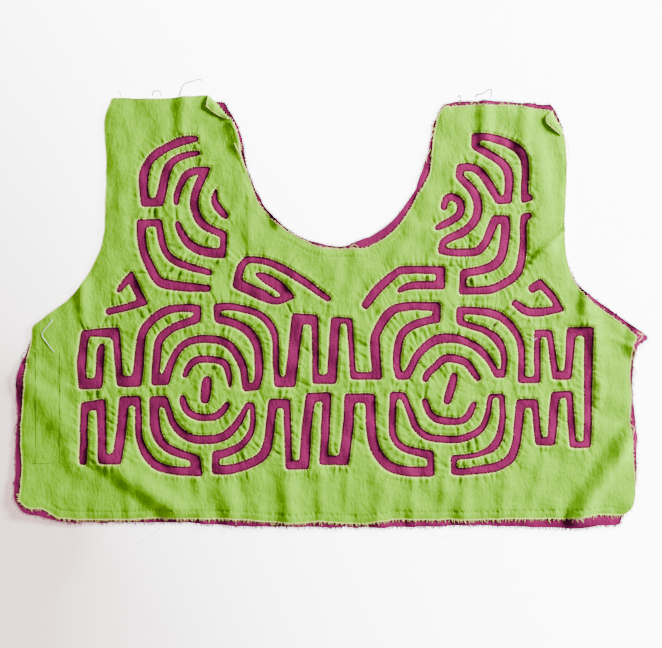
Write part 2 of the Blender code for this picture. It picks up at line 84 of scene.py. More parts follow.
# The under cloth, clockwise from the same corner, inside the top cloth where that hides it
UNDER_STRAP_LEFT = [
    (-162.5, 157.5, 1), (-136, 157.5), (-100, 158), (-80, 157, 1), (-71, 141.5), (-66.5, 127.5),
]
UNDER_NECK = [
    (-63.5, 110), (-52.5, 83.5), (-43.5, 72), (-28.5, 59), (-8, 51.5), (7, 49.5), (17.5, 52),
    (37, 61.5), (45, 68), (54, 79), (61, 89), (68, 107),
]
UNDER_STRAP_RIGHT = [
    (73.5, 125), (75, 137), (78, 145.5), (83.5, 155, 1), (95.5, 157.5), (128, 158), (156.5, 155.5),
    (164.5, 156, 1), (171, 144), (173.5, 134), (173, 117), (172.5, 84),
]
UNDER_ARMHOLE_RIGHT = [
    (171.5, 63), (173, 45), (181, 27), (188, 17.5), (196.5, 10.5), (219.5, -5.5), (237.5, -19.5, 1),
]
UNDER_SIDE_RIGHT = [
    (229, -25.5), (225.5, -50.5), (227, -81), (228.5, -113), (228, -128), (222, -142),
    (216, -159.5, 1),
]
UNDER_HEM = [
    (203, -160), (186, -162), (136, -161), (98, -160), (78.5, -161), (21.5, -161.5), (-22, -161),
    (-56.5, -161), (-98.5, -158.5), (-134, -157.5), (-178, -158), (-203, -157), (-219, -152.5),
    (-230, -150), (-237.5, -140, 1),
]
UNDER_SIDE_LEFT = [
    (-237, -125), (-236.5, -107), (-235.5, -73.5), (-236, -49), (-230, -33), (-222.5, -14.5, 1),
]
UNDER_ARMHOLE_LEFT = [
    (-212.5, -6), (-199, 4), (-188.5, 14), (-174.5, 38), (-168.5, 56), (-167, 79), (-166, 110),
    (-167.5, 143),
]

# Channels: (x, y, width) is a point that a smooth run passes through,
# (x, y, width before, width after) is a sharp turn, in millimetres.
SHOULDER_LEFT_OUTER = [
    (-99.5, 129.5, 4.2), (-106.5, 129, 6), (-116.5, 126.5, 6.5), (-127, 121, 6.5),
    (-135, 115, 6.5), (-139.5, 107, 7), (-141, 97.5, 7), (-139.5, 82, 7, 6.5),
    (-129, 82, 6.5, 7), (-127, 91, 7), (-123, 107, 6.5), (-118.5, 113, 5.5),
    (-110, 117.3, 5), (-98.3, 119.2, 3.8),
]
SHOULDER_LEFT_INNER = [
    (-116.5, 79.5, 4), (-116, 87, 5), (-113, 95.5, 5.5), (-108.5, 103, 6),
    (-100.5, 106, 6, 5), (-94.5, 106, 5, 6), (-98.5, 97.5, 6.5), (-102, 89, 6.5), (-103, 81, 6.5),
    (-100.5, 71.5, 6.5), (-94.5, 64, 6.5), (-80.5, 58, 5.5, 5), (-81.5, 43.5, 5, 7),
    (-98, 46, 7.5), (-106.5, 51, 7), (-112.5, 59, 6), (-116, 68, 4),
]
SHOULDER_LEFT_HOOK = [(-86.2, 93, 1.5), (-88, 83.5, 5.2), (-84, 76.8, 5.8), (-77.8, 70.2, 4.6)]
SHOULDER_LEFT_LOWER = [
    (-90.5, 17.5, 5), (-106.5, 18.5, 7), (-119, 20, 7.5), (-129.5, 23, 7), (-135.5, 33, 6.5),
    (-140.5, 45, 6.5), (-142.5, 56, 7), (-142.5, 66.5, 7, 5.5), (-129.5, 67, 5.5, 5.5),
    (-126, 48.5, 5.5), (-120.5, 40.5, 5.5), (-111.5, 35.5, 6), (-89.5, 29, 5),
]
SIDE_LEFT_HOOK = [
    (-160.5, 14.5, 3), (-155, 22, 5), (-150.5, 26.5, 5.5, 6), (-141.5, 7, 6.5, 5.5),
    (-156, 3, 5.5), (-169.3, -0.3, 5.4),
]
CHEST_LEFT = [
    (-1, 8.5, 4.5), (-21, 23, 6), (-36, 32, 6), (-48, 37.5, 5.5), (-63.5, 39.5, 4.5, 5),
    (-68, 33, 6), (-71, 21, 6.5, 8), (-59.5, 16, 8.5), (-49, 11, 8), (-41.5, 8, 5.5),
    (-32, 11.5, 5.5, 7), (-38.5, 18.5, 8), (-50.5, 26, 7), (-58, 29, 1.5),
]
CHEST_RIGHT = [
    (23.5, 3, 6), (35, 17.5, 7), (45.5, 27, 6.5), (51, 31.5, 5.5, 6), (81.5, 31.5, 6, 7),
    (81.5, 20, 7, 6.5), (62.5, 20, 6), (54, 18, 5), (49, 14.5, 3),
]
SHOULDER_RIGHT = [
    (150.5, 86, 5), (144.5, 84.5, 5, 5.5), (144.5, 95.5, 5.5), (145, 106, 5.5), (144, 115, 6),
    (138.5, 122.5, 6.5), (129, 127.5, 6.5), (118.5, 130.5, 6), (107.5, 131, 6, 6),
    (107.5, 124, 6, 5.5), (115, 120, 6), (123, 115, 6.5), (129.5, 109.5, 7), (132.5, 103, 7),
    (133, 94, 6.5), (131.5, 83.5, 6.5, 5.5), (125, 83.5, 5.5, 6), (120.5, 91, 6.5),
    (116, 98.5, 6.5), (110.5, 105.5, 6.5), (104, 108.5, 6), (96, 108, 5.5, 5.5),
    (95.5, 101.5, 5.5, 6), (102, 95, 6.5), (107.5, 88, 7), (109.5, 80.5, 7), (109, 72.5, 7),
    (104.5, 65, 6.5), (98, 59.5, 6.5), (88.5, 55.5, 6), (83, 52, 5.5, 5), (82, 46, 5, 5.5),
    (90, 44.5, 6), (100.5, 44.5, 6.5), (109, 45.5, 6.5), (115, 52, 6.5), (118.5, 59.5, 6.5),
    (122.5, 69.5, 6.5, 5.5), (130, 69.5, 5.5, 6.5), (130.5, 61.5, 7), (129, 50.5, 7),
    (126.5, 40.5, 7), (120.5, 34.5, 7), (110, 31, 6.5), (98.5, 29, 6, 5.5), (98, 16, 5.5, 6),
    (108.5, 16, 6), (119.5, 17, 6.5), (130.5, 22, 6.5), (138.5, 28.5, 6.5), (142, 38.5, 6),
    (143.5, 51, 5.5), (143.5, 64, 5.5), (144, 71.5, 5.5, 5), (150, 72.5, 5),
]
SHOULDER_RIGHT_HOOK = [
    (83.5, 76, 5), (86, 85, 5.5), (90, 86.5, 5.5), (95.5, 83.5, 6), (97, 79, 6), (95.5, 72.5, 6),
    (89.5, 68.5, 5.5), (82.5, 64.5, 5.5), (77, 62, 3),
]
SIDE_RIGHT_HOOK = [
    (148, 16, 6.5), (156, 21.5, 6.5, 5.5), (165.5, 11, 5.5), (170.5, 2.5, 5.5, 5.5),
    (157, 0, 6.5), (146, 0.5, 6.5), (140, 4.5, 6), (135, 8, 5),
]
UPPER_BAND_LEFT = [
    (-171.5, -23.5, 4), (-173, -30, 6), (-173.5, -40, 6), (-174.5, -53.5, 6, 8),
    (-186.5, -54, 8, 6.5), (-187, -36, 6.7), (-184.5, -15.8, 6.5, 4.4), (-161.5, -15.6, 8.4, 5.5),
    (-158.5, -52, 5.5, 8.2), (-146, -52, 8.2, 7.5), (-144.5, -40, 7.5), (-143.5, -27, 7),
    (-141.5, -16, 6.5),
    (-136, -7.5, 6.5), (-128.5, -1.5, 6.5), (-120.5, 2, 6), (-109, 3, 6), (-100.5, 2.5, 6, 5.5),
    (-100.5, -5.5, 5.5, 6), (-108.5, -8, 6), (-117.5, -11.5, 6), (-125.5, -16.5, 6.5),
    (-129.5, -22.5, 6.5), (-130.5, -30.5, 6.5), (-131.5, -40.5, 6.5), (-132, -50.8, 6.5, 8.4),
    (-124, -50.8, 8.4, 6), (-122, -43.5, 6), (-119, -35.5, 5.5), (-115, -28.5, 5.5),
    (-108.5, -23, 5.5), (-100, -20.5, 6), (-90.5, -20.5, 6), (-81.5, -22, 6.5),
    (-74.5, -27, 6.5), (-69.5, -34.5, 6.5), (-66, -42.5, 6), (-65, -50.5, 6),
    (-64, -56.5, 6, 6), (-56.5, -56, 6, 6), (-54.5, -47.5, 6.5), (-54.5, -37, 6.5),
    (-55.5, -27, 6.5), (-59, -18.5, 7), (-65, -12.5, 7), (-74, -8, 6.5), (-85.5, -5, 6.5, 5.5),
    (-86, 3.5, 5.5, 5.5), (-77.5, 4, 5.5), (-67.5, 2.5, 5.5), (-56, -1, 5.5), (-48.5, -6.5, 5.5),
    (-44, -13, 5.5), (-42, -21, 5), (-41.5, -40.5, 5), (-40.5, -52.5, 5, 8), (-31, -52.5, 8, 8.5),
]
UPPER_BAND_MIDDLE = [
    (-25.5, -5, 9, 7.5), (-12.5, -6, 7.5, 5), (-12, -50.5, 5, 7), (0, -50.5, 7, 7.5),
    (3, -6, 7.5, 4.5), (13.5, -6.5, 4.5, 4.5), (16, -48, 4.5, 5.5), (34, -48, 5.5, 7.5),
]
UPPER_BAND_RIGHT = [
    (33.5, -39.5, 7.5), (32.5, -27, 7.5), (32.5, -18.5, 7), (36.5, -10, 7), (40.5, -3.5, 7),
    (46, 1.5, 6.5), (51.5, 3.5, 6.5), (62.5, 4.5, 6.5), (78.5, 4, 6.5, 6), (78.5, -5.5, 6, 6),
    (73.5, -6, 6), (61, -10, 6), (53.5, -15.5, 6), (50.5, -22, 6), (49, -33, 6), (49, -42.5, 6),
    (50.5, -48, 6, 5.5), (56.5, -48, 5.5, 6), (60, -40.5, 6), (64, -33, 6), (70, -26.5, 6.5),
    (76, -22, 7), (81.5, -20, 7.5), (93, -20, 6.5), (104.5, -24, 5.5), (113.5, -30.5, 6),
    (119.5, -38.5, 5), (123.5, -46.5, 5, 6), (128.5, -46.5, 6, 4.5), (129, -32.5, 5),
    (124, -21, 6.5), (116, -14.5, 5.5), (104.5, -10.5, 5), (96, -7.5, 5, 5.5), (96, 1, 5.5, 6),
    (104, 1, 6), (118, -0.5, 6.5), (128, -4.5, 6.5), (139, -17, 5.5), (142, -26.5, 5.5),
    (142, -51, 5.5, 5), (154, -51, 5, 5), (154, -16, 5, 5.5), (163, -16, 5.5, 5),
    (167.5, -47.5, 5.5, 6.5), (177, -47.5, 6.5, 6), (179.5, -14.5, 7, 6.5), (192.5, -14.5, 6.5, 7),
]
LOWER_BAND_RIGHT = [
    (191.5, -99.5, 5.5, 4.5), (180.5, -99.5, 4.5, 5.5), (178, -61.5, 5, 5), (167.5, -62, 5, 7),
    (164.5, -97, 6.5, 6), (155, -97, 6, 5.5), (152, -68.5, 5, 6.5), (141.5, -68.5, 6.5, 7),
    (139.5, -87.5, 7), (138, -99, 6.5), (133.5, -110, 7), (124.5, -115.5, 6.5),
    (116, -117.5, 6.5), (98.5, -119.5, 5.5), (91.5, -119.5, 5.5, 4.5), (91.5, -109, 4.5, 3.5),
    (98.5, -108.5, 3.5), (110, -106.5, 4), (120.5, -101.5, 6), (125.5, -93.5, 6),
    (127.5, -84.5, 5), (128, -73, 4.5), (127, -62.5, 4.5, 3), (119, -63, 3, 4),
    (116, -79.5, 4.5), (111.5, -88, 5), (101.5, -93.5, 6), (93, -95.5, 5.5), (81.5, -95, 5.5),
    (73.5, -94, 5.5), (67.5, -91, 5.5), (63, -86, 5.5), (60, -78.5, 5.5), (56.5, -69, 5),
    (53.5, -62.5, 5, 5.5), (46, -62.5, 5.5, 5.5), (45.5, -85, 5.5), (46, -92.5, 5.5),
    (50, -99, 5.5), (56.5, -103, 5.5), (65, -105, 6), (74, -107, 7, 5), (74.5, -119.5, 5, 7.5),
    (60.5, -119.5, 7.5), (47.5, -117.5, 7.5), (40, -113, 7.5), (34, -105, 7.5), (31, -97, 7.5),
    (29.5, -85, 7.5), (29, -64.5, 7.5, 7),
]
LOWER_BAND_MIDDLE = [
    (13.5, -64.5, 7, 8), (12, -88.5, 8), (9, -111.5, 8, 7), (-6, -111, 7, 6.5),
    (-3.5, -63.5, 6.5, 7), (-16, -64, 7, 7.5), (-18.5, -85, 7.5), (-20.5, -114.5, 7.5, 7),
    (-32, -114.5, 7, 5.5), (-33.5, -68.5, 5.5, 7), (-44, -68.5, 7, 7),
]
LOWER_BAND_LEFT = [
    (-46, -85, 7), (-47, -94.5, 7), (-50.5, -106, 7.5), (-56, -111, 7), (-65.5, -115, 7),
    (-77.5, -118, 7), (-87, -118, 7, 5.5), (-87, -107, 5.5, 6.5), (-77.5, -105, 6.5),
    (-69.5, -101, 5.5), (-62.5, -94, 5), (-59.5, -86, 4.5), (-59, -77.5, 4), (-59.5, -70, 4, 4),
    (-63, -69.5, 4, 4), (-66, -76, 5), (-71, -84, 6), (-77.5, -91, 6.5), (-85.5, -95, 6.5),
    (-94, -95.5, 6.5), (-101.5, -95.5, 6.5), (-108.5, -93, 6.5), (-115, -88, 6), (-119.5, -82, 5.5),
    (-122, -74, 5.5), (-124.5, -66.9, 5.5, 8.2), (-133, -67.2, 8.2, 7.5), (-132.5, -85, 7.5),
    (-130.5, -92.5, 7.5), (-125.5, -99.5, 7), (-119, -104, 6.5), (-111, -107, 6),
    (-102.5, -109, 5, 8), (-101, -119.5, 8, 6.5), (-114.5, -119, 6.5), (-128, -116.5, 6.5),
    (-135, -111.5, 6.5), (-140.5, -104, 6), (-144, -94.5, 5), (-144.5, -85, 5),
    (-145, -66.3, 5, 7.2), (-155.5, -66.6, 7.2, 7.5), (-157.5, -88.5, 7.5), (-160.5, -110.2, 7.5, 7.6),
    (-171.5, -110, 7.6, 6.5), (-172.5, -69, 7, 7), (-185, -71, 7, 6), (-186, -114.5, 6),
]
ROUNDEL_LEFT_UPPER = [
    (-110.5, -49.5, 4), (-108.5, -44, 5), (-105, -38.5, 5.5), (-99.5, -35.5, 5.5),
    (-92, -35.5, 5.5), (-84, -36.5, 5.5), (-80, -38, 5.5), (-77.5, -44, 5), (-76.5, -50.5, 4),
    (-76, -58, 1),
]
ROUNDEL_LEFT_BAR = [(-92.6, -48, 5), (-93.3, -52, 7.2), (-94.8, -64.5, 7.6), (-95.4, -68.6, 5.8)]
ROUNDEL_LEFT_LOWER = [
    (-112, -62, 4), (-111, -68, 5.5), (-108, -74, 5.5), (-103.5, -77.5, 5.5), (-95.5, -79, 5.5),
    (-87.5, -78.5, 5.5), (-82, -74.5, 5.5), (-77, -67.5, 4.5),
]
ROUNDEL_RIGHT_UPPER = [
    (69.5, -52.5, 5), (71.5, -47, 5.5), (77.5, -41, 5.5), (83.5, -35.5, 6), (90, -34.5, 6.5),
    (101, -38, 6), (106, -44.5, 5.5), (110.5, -51.5, 4.5),
]
ROUNDEL_RIGHT_BAR = [(92.6, -45.6, 4.4), (91.4, -49.5, 6.2), (87, -65, 6.4), (85.8, -69.4, 4.8)]
ROUNDEL_RIGHT_LOWER = [
    (69, -64.5, 4.5), (71.5, -72, 5.5), (76, -78.5, 5.5), (81.5, -81, 6), (92.5, -82, 5.5),
    (98.5, -81, 5.5), (102.5, -77.5, 5.5), (104.5, -73.5, 5.5), (107.5, -67, 4),
]
LABYRINTH = (
    UPPER_BAND_LEFT + UPPER_BAND_MIDDLE + UPPER_BAND_RIGHT
    + LOWER_BAND_RIGHT + LOWER_BAND_MIDDLE + LOWER_BAND_LEFT
)
CHANNELS = [
    SHOULDER_LEFT_OUTER, SHOULDER_LEFT_INNER, SHOULDER_LEFT_HOOK, SHOULDER_LEFT_LOWER,
    SIDE_LEFT_HOOK, CHEST_LEFT, CHEST_RIGHT, SHOULDER_RIGHT, SHOULDER_RIGHT_HOOK, SIDE_RIGHT_HOOK,
    LABYRINTH, ROUNDEL_LEFT_UPPER, ROUNDEL_LEFT_BAR, ROUNDEL_LEFT_LOWER,
    ROUNDEL_RIGHT_UPPER, ROUNDEL_RIGHT_BAR, ROUNDEL_RIGHT_LOWER,
]

# Folds that lift both cloths off the floor, each a rounded ridge along a line: the CAD part's, with
# three of the hem's wider, and FLAPS in place of the strap corners. x0, y0, x1, y1, half width, height
FOLDS = [
    (-176, -108, -118, -148, 12, 3.4),
    (-80, -118, -76, -156, 12, 2.3),
    (-33, -122, -31, -158, 12, 2.6),
    (38, -124, 37, -158, 12, 2.0),
    (100, -128, 98, -156, 9, 1.4),
    (222, -92, 184, -150, 12, 3.6),
    (152, 35, 178, 64, 8, 2.0),
    (193, 14, 190, -6, 9, 2.6),
    (116, 128, 115, 158, 9, 2.4),
    (143, 120, 146, 156, 8, 1.8),
    (-112, 136, -111, 160, 9, 2.2),
]

# Softer folds that the CAD part leaves out: x0, y0, x1, y1, half width, height
CREASES = [
    (-236, -50, -193, -88, 16, 2.5),
    (-195, -105, -193, -116, 9, 1.0),
    (-164, -107, -112, -144, 17, 1.6),
    (228, -89, 187, -151, 13, 5.0),
    (150, 38, 179, 66, 2.8, 1.9),
    (-246, -140, -230, -170, 42, 3.2),
    (-74, 146, -68, 122, 9, 2.2),
    (190, 22, 189, 2, 6, 1.8),
    (-185, 22, -186, 4, 7, 0.8),
    (-95, -120, -92, -158, 8, 0.8),
    (-62, -124, -62, -158, 9, 0.8),
    (-222, -40, -190, -62, 8, 0.8),
    (-187, 18, -185, -8, 7, 1.5),
    (229, -8, 226, -28, 9, 2.6),
    (201, -54, 200, -70, 5, 1.4),
    (-62, 118, -56, 98, 6, 2.8),
    (-46, 84, -40, 66, 6, 2.4),
    (154, 124, 158, 50, 15, 2.0),
    (196, -2, 199, -50, 8, 1.7),
    (206, -18, 226, -27, 4, 0.7),
    (-62, 86, -61, 38, 3, 0.5),
    (-152, -128, -151, -158, 7, 0.9),
    (-100, -124, -98, -158, 7, 1.1),
    (-54, -122, -54, -158, 7, 1.0),
    (-8, -122, -9, -158, 7, 1.2),
    (12, -118, 11, -146, 5, 0.9),
    (62, -126, 60, -158, 7, 1.1),
    (84, -124, 82, -158, 5, 0.7),
    (132, -122, 126, -158, 8, 1.4),
    (158, -110, 146, -156, 7, 1.0),
    (-30, 40, -30, 20, 8, 0.7),
    (16, 44, 14, 18, 8, 0.8),
    (62, 64, 44, 36, 8, 0.8),
    (-212, 0, -188, -40, 9, 0.9),
    (-160, 130, -156, 80, 9, 0.8),
    (-156, 66, -160, 30, 8, 0.9),
]

# Loose threads and drawn lines: radius, then the points that each runs through
WHITE_THREADS = [
    (0.28, [(-208.5, -6), (-212.5, -11), (-216.5, -17), (-212.5, -23.5), (-207.5, -30)]),
    (0.25, [(149, -19), (150.5, -21.5), (153.5, -19.5)]),
    (0.34, [(-125.5, -160.5), (-134.5, -166.5), (-145, -173)]),
    (0.3, [(69.5, -161), (75.5, -166), (82, -168.5), (89, -166.5)]),
]
CREAM_THREADS = [
    (0.42, [(-74, 142), (-72.5, 138.5), (-70.5, 132.5), (-69, 127), (-68.5, 120), (-67, 114),
           (-63.5, 104.5)]),
    (0.36, [(-72.5, 126), (-69.5, 119.5), (-66.5, 114)]),
    (0.34, [(173.5, 133.5), (176, 130.5), (177.5, 124.5), (178, 119), (177, 109.5)]),
    (0.25, [(-170.5, 146), (-173, 145), (-173.5, 143), (-171.5, 142), (-170.5, 144.5)]),
    (0.25, [(-168.5, 149), (-172, 147.5), (-174.5, 146)]),
    (0.22, [(-171.5, 61), (-174.5, 60), (-175.5, 58), (-173.5, 56)]),
    (0.25, [(77, 138), (74.5, 134), (73, 129)]),
    (0.25, [(79, 146), (76, 141), (75.5, 136)]),
    (0.25, [(76, 133.5), (73, 127), (72, 121)]),
    (0.25, [(74, 121.5), (71.5, 117), (71, 112)]),
    (0.25, [(14, 49), (17, 50.5), (20, 48.5)]),
    (0.25, [(-1, 52), (2, 50), (4, 51.5)]),
    (0.25, [(228.5, -15), (231.5, -17), (233.5, -14), (232, -19.5), (229, -22)]),
    (0.25, [(224.5, -25), (227, -30), (225.5, -34.5)]),
    (0.25, [(226, -39), (227.5, -43.5), (226, -48)]),
    (0.25, [(224, -73.5), (223, -77), (224.5, -81)]),
    (0.25, [(223, -84), (225.5, -87), (224, -91.5)]),
    (0.25, [(228.5, -122), (230.5, -120), (231, -117)]),
    (0.22, [(95.5, 156), (97, 159), (96.5, 161)]),
    (0.22, [(104, 156), (107, 158), (110, 156.5)]),
    (0.22, [(126.5, 156), (130, 158), (133, 155.5)]),
    (0.22, [(142, 155), (144, 157), (146, 157.5)]),
]
PLUM_THREADS = [
    (0.34, [(-159.5, 165.5), (-158, 163.5), (-158.5, 161)]),
    (0.48, [(-134, 162), (-134, 164.5), (-131, 166), (-128, 164.5), (-128, 161.5)]),
    (0.5, [(-114.5, 162), (-113, 165.5), (-111.5, 169.5), (-108.5, 172), (-104, 173), (-99.5, 174.5),
           (-96.5, 173.5)]),
    (0.52, [(108, 161), (109, 163), (113, 163.5), (116.5, 166), (119.5, 167), (120, 164), (119.5, 161)]),
    (0.48, [(94.5, 161), (96, 162.5), (97, 160), (96.5, 156)]),
    (0.34, [(-230, -30), (-232.5, -33), (-231.5, -37), (-227.5, -37.5), (-226.5, -34)]),
    (0.34, [(-232, -49.5), (-235, -52.5), (-234.5, -55.5), (-231.5, -55)]),
    (0.34, [(-236, -84), (-237.5, -87), (-237.5, -91), (-235, -91.5)]),
    (0.34, [(231.5, -21), (233.5, -25), (231.5, -28.5)]),
    (0.34, [(225.5, -40.5), (228.5, -45), (227, -50)]),
]
PENCIL_LINES = [
    (0.19, [(-221.5, -30), (-221, -66), (-221.5, -113)]),
    (0.19, [(-203.5, -30), (-203, -73.5), (-203.5, -113)]),
    (0.19, [(-224, -113), (-217, -113.5), (-209.5, -113)]),
    (0.17, [(76.2, -124.2), (83, -123.2), (89.7, -122.7)]),
]

# Corners of the straps that have rolled over: the fold and the free edge of each
FLAPS = [
    (
        [(-92, 162.6), (-86.2, 156.5), (-81.7, 150.4), (-76.5, 144.8)],
        [(-93.6, 153.4), (-88.6, 149.4), (-82.8, 146), (-76.9, 143.8)],
    ),
    (
        [(165.4, 150.8), (167.4, 144.6), (170, 139.8), (173.4, 133.5)],
        [(160, 145.6), (160.6, 141.6), (164.8, 137.4), (172.2, 131.6)],
    ),
]

TOP_ROWS = (
    TOP_STRAP_LEFT + TOP_NECK + TOP_STRAP_RIGHT + TOP_ARMHOLE_RIGHT
    + TOP_SIDE_RIGHT + TOP_HEM + TOP_SIDE_LEFT + TOP_ARMHOLE_LEFT
)
UNDER_ROWS = (
    UNDER_STRAP_LEFT + UNDER_NECK + UNDER_STRAP_RIGHT + UNDER_ARMHOLE_RIGHT
    + UNDER_SIDE_RIGHT + UNDER_HEM + UNDER_SIDE_LEFT + UNDER_ARMHOLE_LEFT
)

# Spacing of points along edges and over the cloths, and how far from the edges it stays fine
CHANNEL_STEP = 1.5
OUTLINE_STEP = 2.0
EDGE_STEP = 1.05
RAW_STEP = 1.3
FINE = 1.0
FINE_REACH = 6.5
MIDDLING_REACH = 12.5
FLAT_ENOUGH = 0.05
UNDER_SPACING = 1.7
UNDER_CLEAR = 1.2
UNDER_REACH = 7
ROLL_RINGS = (0.42, 1.05)
UNDER_RINGS = (0.1, 0.8)
GRID_CORNER = (-240, -165)
GRID_SIZE = (480, 330)
ROW_SHARE = 0.866
THREAD_POINTS = 26
THREAD_SIDES = 5
FLAP_POINTS = 30
FLAP_ROWS = 11

# Waves of the cloth: their lengths, how high the slow ones rise, and a turn for their random starts
SLOW_WAVES = (26, 34, 43, 57, 75)
SHALLOW_WAVES = (11, 14, 18, 23, 29)
SLOW_RISE = 0.55
TURN = 6.28
WANDER_LENGTH = 7

# Heights: the folded surface above the floor, then what lies on that surface
GROUND_Z = 1.1
UNDER_Z = 0.2
RAW_Z = 1.0
TOP_Z = 1.6
LOWEST_END = 0.12
HEM_TOP = -135

# Profiles of the cloths near their edges: rises and drops, and over what reach
CROWN_RISE = 0.3
CROWN_REACH = 3.2
PUFF_RISE = 0.3
PUFF_MIDDLE = 1.9
PUFF_REACH = 1.3
ROLL_DROP = 0.75
ROLL_REACH = 0.42
RAW_REACH = 2.5
RAW_PALE = 0.12
RAW_PALING = 0.7
UNDER_DROP = 0.25
UNDER_DROP_REACH = 2
LIP_SPREAD = 0.3
LIP_GAP = 0.06
SET_BACK = 0.3
FLAP_RISE = 3.6
FLAP_SINK = 0.6
FLAP_HEM = 0.8

# Sewing. A dent is a length, half width, rise and fading, a stay pucker the same without its length,
# and PUCKERS hold a rise, its spread and a half width
STITCH_PITCH = 2.2
STITCH_DENT = (1.3, 0.55, -0.28, 1.2)
STITCH_RADIUS = 0.2
STITCH_SLANT = (0.1, 0.7)
STITCH_REACH = (0.4, 0.9)
STITCH_ROOT = (0.45, 0.8)
PUCKER_PITCH = 3.1
PUCKERS = [(-0.72, 0.3, 0.74), (0.35, 0.32, 1.15)]
PUCKER_LEAN = -0.55
PUCKER_SCATTER = 0.2
RUN_UP = 0.8
RUN_UP_START = 0.6
OPEN_ROOM = 14.0
OPEN_PUCKER = (4, 14)
SHORT_PUCKER = (2.5, 5)
BRIDGE_SHARE = 0.55
STAY_LINE = 6.3
STAY_PITCH = 2.6
STAY_DENT = (1.6, 0.6, -0.45, 0.3)
STAY_PUCKER_LENGTH = (2, 5)
STAY_PUCKER = (0.7, -0.5, 1.0)
STAY_BOXES = [((-224, -165), (214, -149)), ((-34, 40), (50, 64))]

GREEN = (0.205, 0.54, 0.001)
# Painted highlight along the turned channel edges, partly the paler worn threads of the folds; the raw
# edges and the flap edges take it too
GREEN_EDGE_HIGHLIGHT_AND_WEAR = (0.97, 0.95, 0.26)
# Painted shade for the valleys of the puckers
GREEN_VALLEY_SHADE = (0.075, 0.17, 0.02)
PLUM = (0.185, 0.011, 0.076)
# Painted shade inside the channel edges and on the lips under the turned edges
PLUM_SHADE = (0.045, 0.002, 0.014)
YARN_COLOURS = {
    "lime_thread": (0.72, 0.80, 0.20),
    "cream_yarn": (0.90, 0.86, 0.28),
    "plum_yarn": (0.19, 0.009, 0.078),
    "brown_thread": (0.07, 0.012, 0.03),
    "white_thread": (0.85, 0.85, 0.80),
    "pencil": (0.05, 0.12, 0.02),
}
PAPER = (0.92, 0.91, 0.91)
PAPER_GLOW = (8.5, 8.5, 8.7)
PAPER_SHADE = (1.3, 0.8, 0.76)
WEAVE_TURNS = 13.96

# In metres, as Blender's own scale
BUMP_HEIGHT = 0.00022
WINDOW_PLACE = (1.14, 0.6, 0.64)
VIEW_WIDTH = 0.4965


# Edges from the tables

def hermite(p0, p1, m0, m1, t):
    a = 2 * t**3 - 3 * t**2 + 1
    b = t**3 - 2 * t**2 + t
    c = 3 * t**2 - 2 * t**3
    d = t**3 - t**2
    return p0 * a + m0 * b + p1 * c + m1 * d


def smooth(points, step):
    """Points every step along a smooth curve through these, which may hold a width as z."""
    if len(points) == 2:
        return list(points)
    chords = [(b.xy - a.xy).length for a, b in zip(points, points[1:])]
    slopes = []
    for i in range(len(points)):
        low = max(i - 1, 0)
        high = min(i + 1, len(points) - 1)
        slopes.append((points[high] - points[low]) / sum(chords[low:high]))
    curve = [points[0]]
    for i, chord in enumerate(chords):
        count = max(1, round(chord / step))
        start = slopes[i] * chord
        end = slopes[i + 1] * chord
        for k in range(1, count + 1):
            curve.append(hermite(points[i], points[i + 1], start, end, k / count))
    return curve


def split_runs(rows):
    runs = [[]]
    for row in rows:
        runs[-1].append(Vector(row[:3]))
        if len(row) == 4:
            runs.append([Vector((row[0], row[1], row[3]))])
    return runs


def side_line(curve, side):
    line = []
    for i, at in enumerate(curve):
        ahead = curve[min(i + 1, len(curve) - 1)].xy - curve[max(i - 1, 0)].xy
        normal = Vector((-ahead.y, ahead.x)).normalized()
        line.append(at.xy + normal * side * at.z / 2)
    return line


def crossing(a, b, c, d):
    u = b - a
    v = d - c
    area = u.cross(v)
    if abs(area) < 1e-9:
        return None
    s = (c - a).cross(v) / area
    t = (c - a).cross(u) / area
    if 0 <= s <= 1 and 0 <= t <= 1:
        return a + u * s
    return None


def meeting(a, b, c, d):
    area = (b - a).cross(d - c)
    if abs(area) < 1e-6:
        return None
    return a + (b - a) * ((c - a).cross(d - c) / area)


def join(done, new, turn):
    """One line from two: cut where they cross on the inside of a turn, mitred on its outside."""
    for i in range(max(0, len(done) - 2), -1, -1):
        if (done[i + 1] - turn).length > JOIN_REACH:
            break
        for k in range(len(new) - 1):
            if (new[k] - turn).length > JOIN_REACH:
                break
            at = crossing(done[i], done[i + 1], new[k], new[k + 1])
            if at:
                return done[: i + 1] + [at] + new[k + 1 :]
    at = meeting(done[-2], done[-1], new[0], new[1])
    limit = MITRE_LIMIT * max((done[-1] - turn).length, (new[0] - turn).length)
    if at and (at - turn).length < limit:
        return done[:-1] + [at] + new[1:]
    return done + new


def channel_loop(rows):
    sides = {1: [], -1: []}
    for run in split_runs(rows):
        curve = smooth(run, CHANNEL_STEP)
        for side, line in sides.items():
            new = side_line(curve, side)
            sides[side] = join(line, new, run[0].xy) if line else new
    return sides[-1] + sides[1][::-1]


def outline_loop(rows):
    loop = []
    run = []
    for row in rows + rows[:1]:
        run.append(Vector((row[0], row[1], 0)))
        if len(row) == 3 and len(run) > 1:
            loop += [at.xy for at in smooth(run, OUTLINE_STEP)[:-1]]
            run = run[-1:]
    return loop[::-1]


def ripple(count, every, rng):
    """Smooth random values from -1 to 1 round a closed line, one wave for each every points."""
    knots = max(3, round(count / every))
    values = rng.uniform(-1, 1, knots)
    at = np.arange(count) * knots / count
    low = at.astype(int)
    share = (1 - np.cos((at - low) * np.pi)) / 2
    return values[low] * (1 - share) + values[(low + 1) % knots] * share


def lengths_along(line):
    return np.concatenate([[0], np.cumsum(np.linalg.norm(np.diff(line, axis=0), axis=1))])


def spaced(line, at):
    """Points at these lengths along a line."""
    return np.column_stack([np.interp(at, lengths_along(line), line[:, k]) for k in (0, 1)])


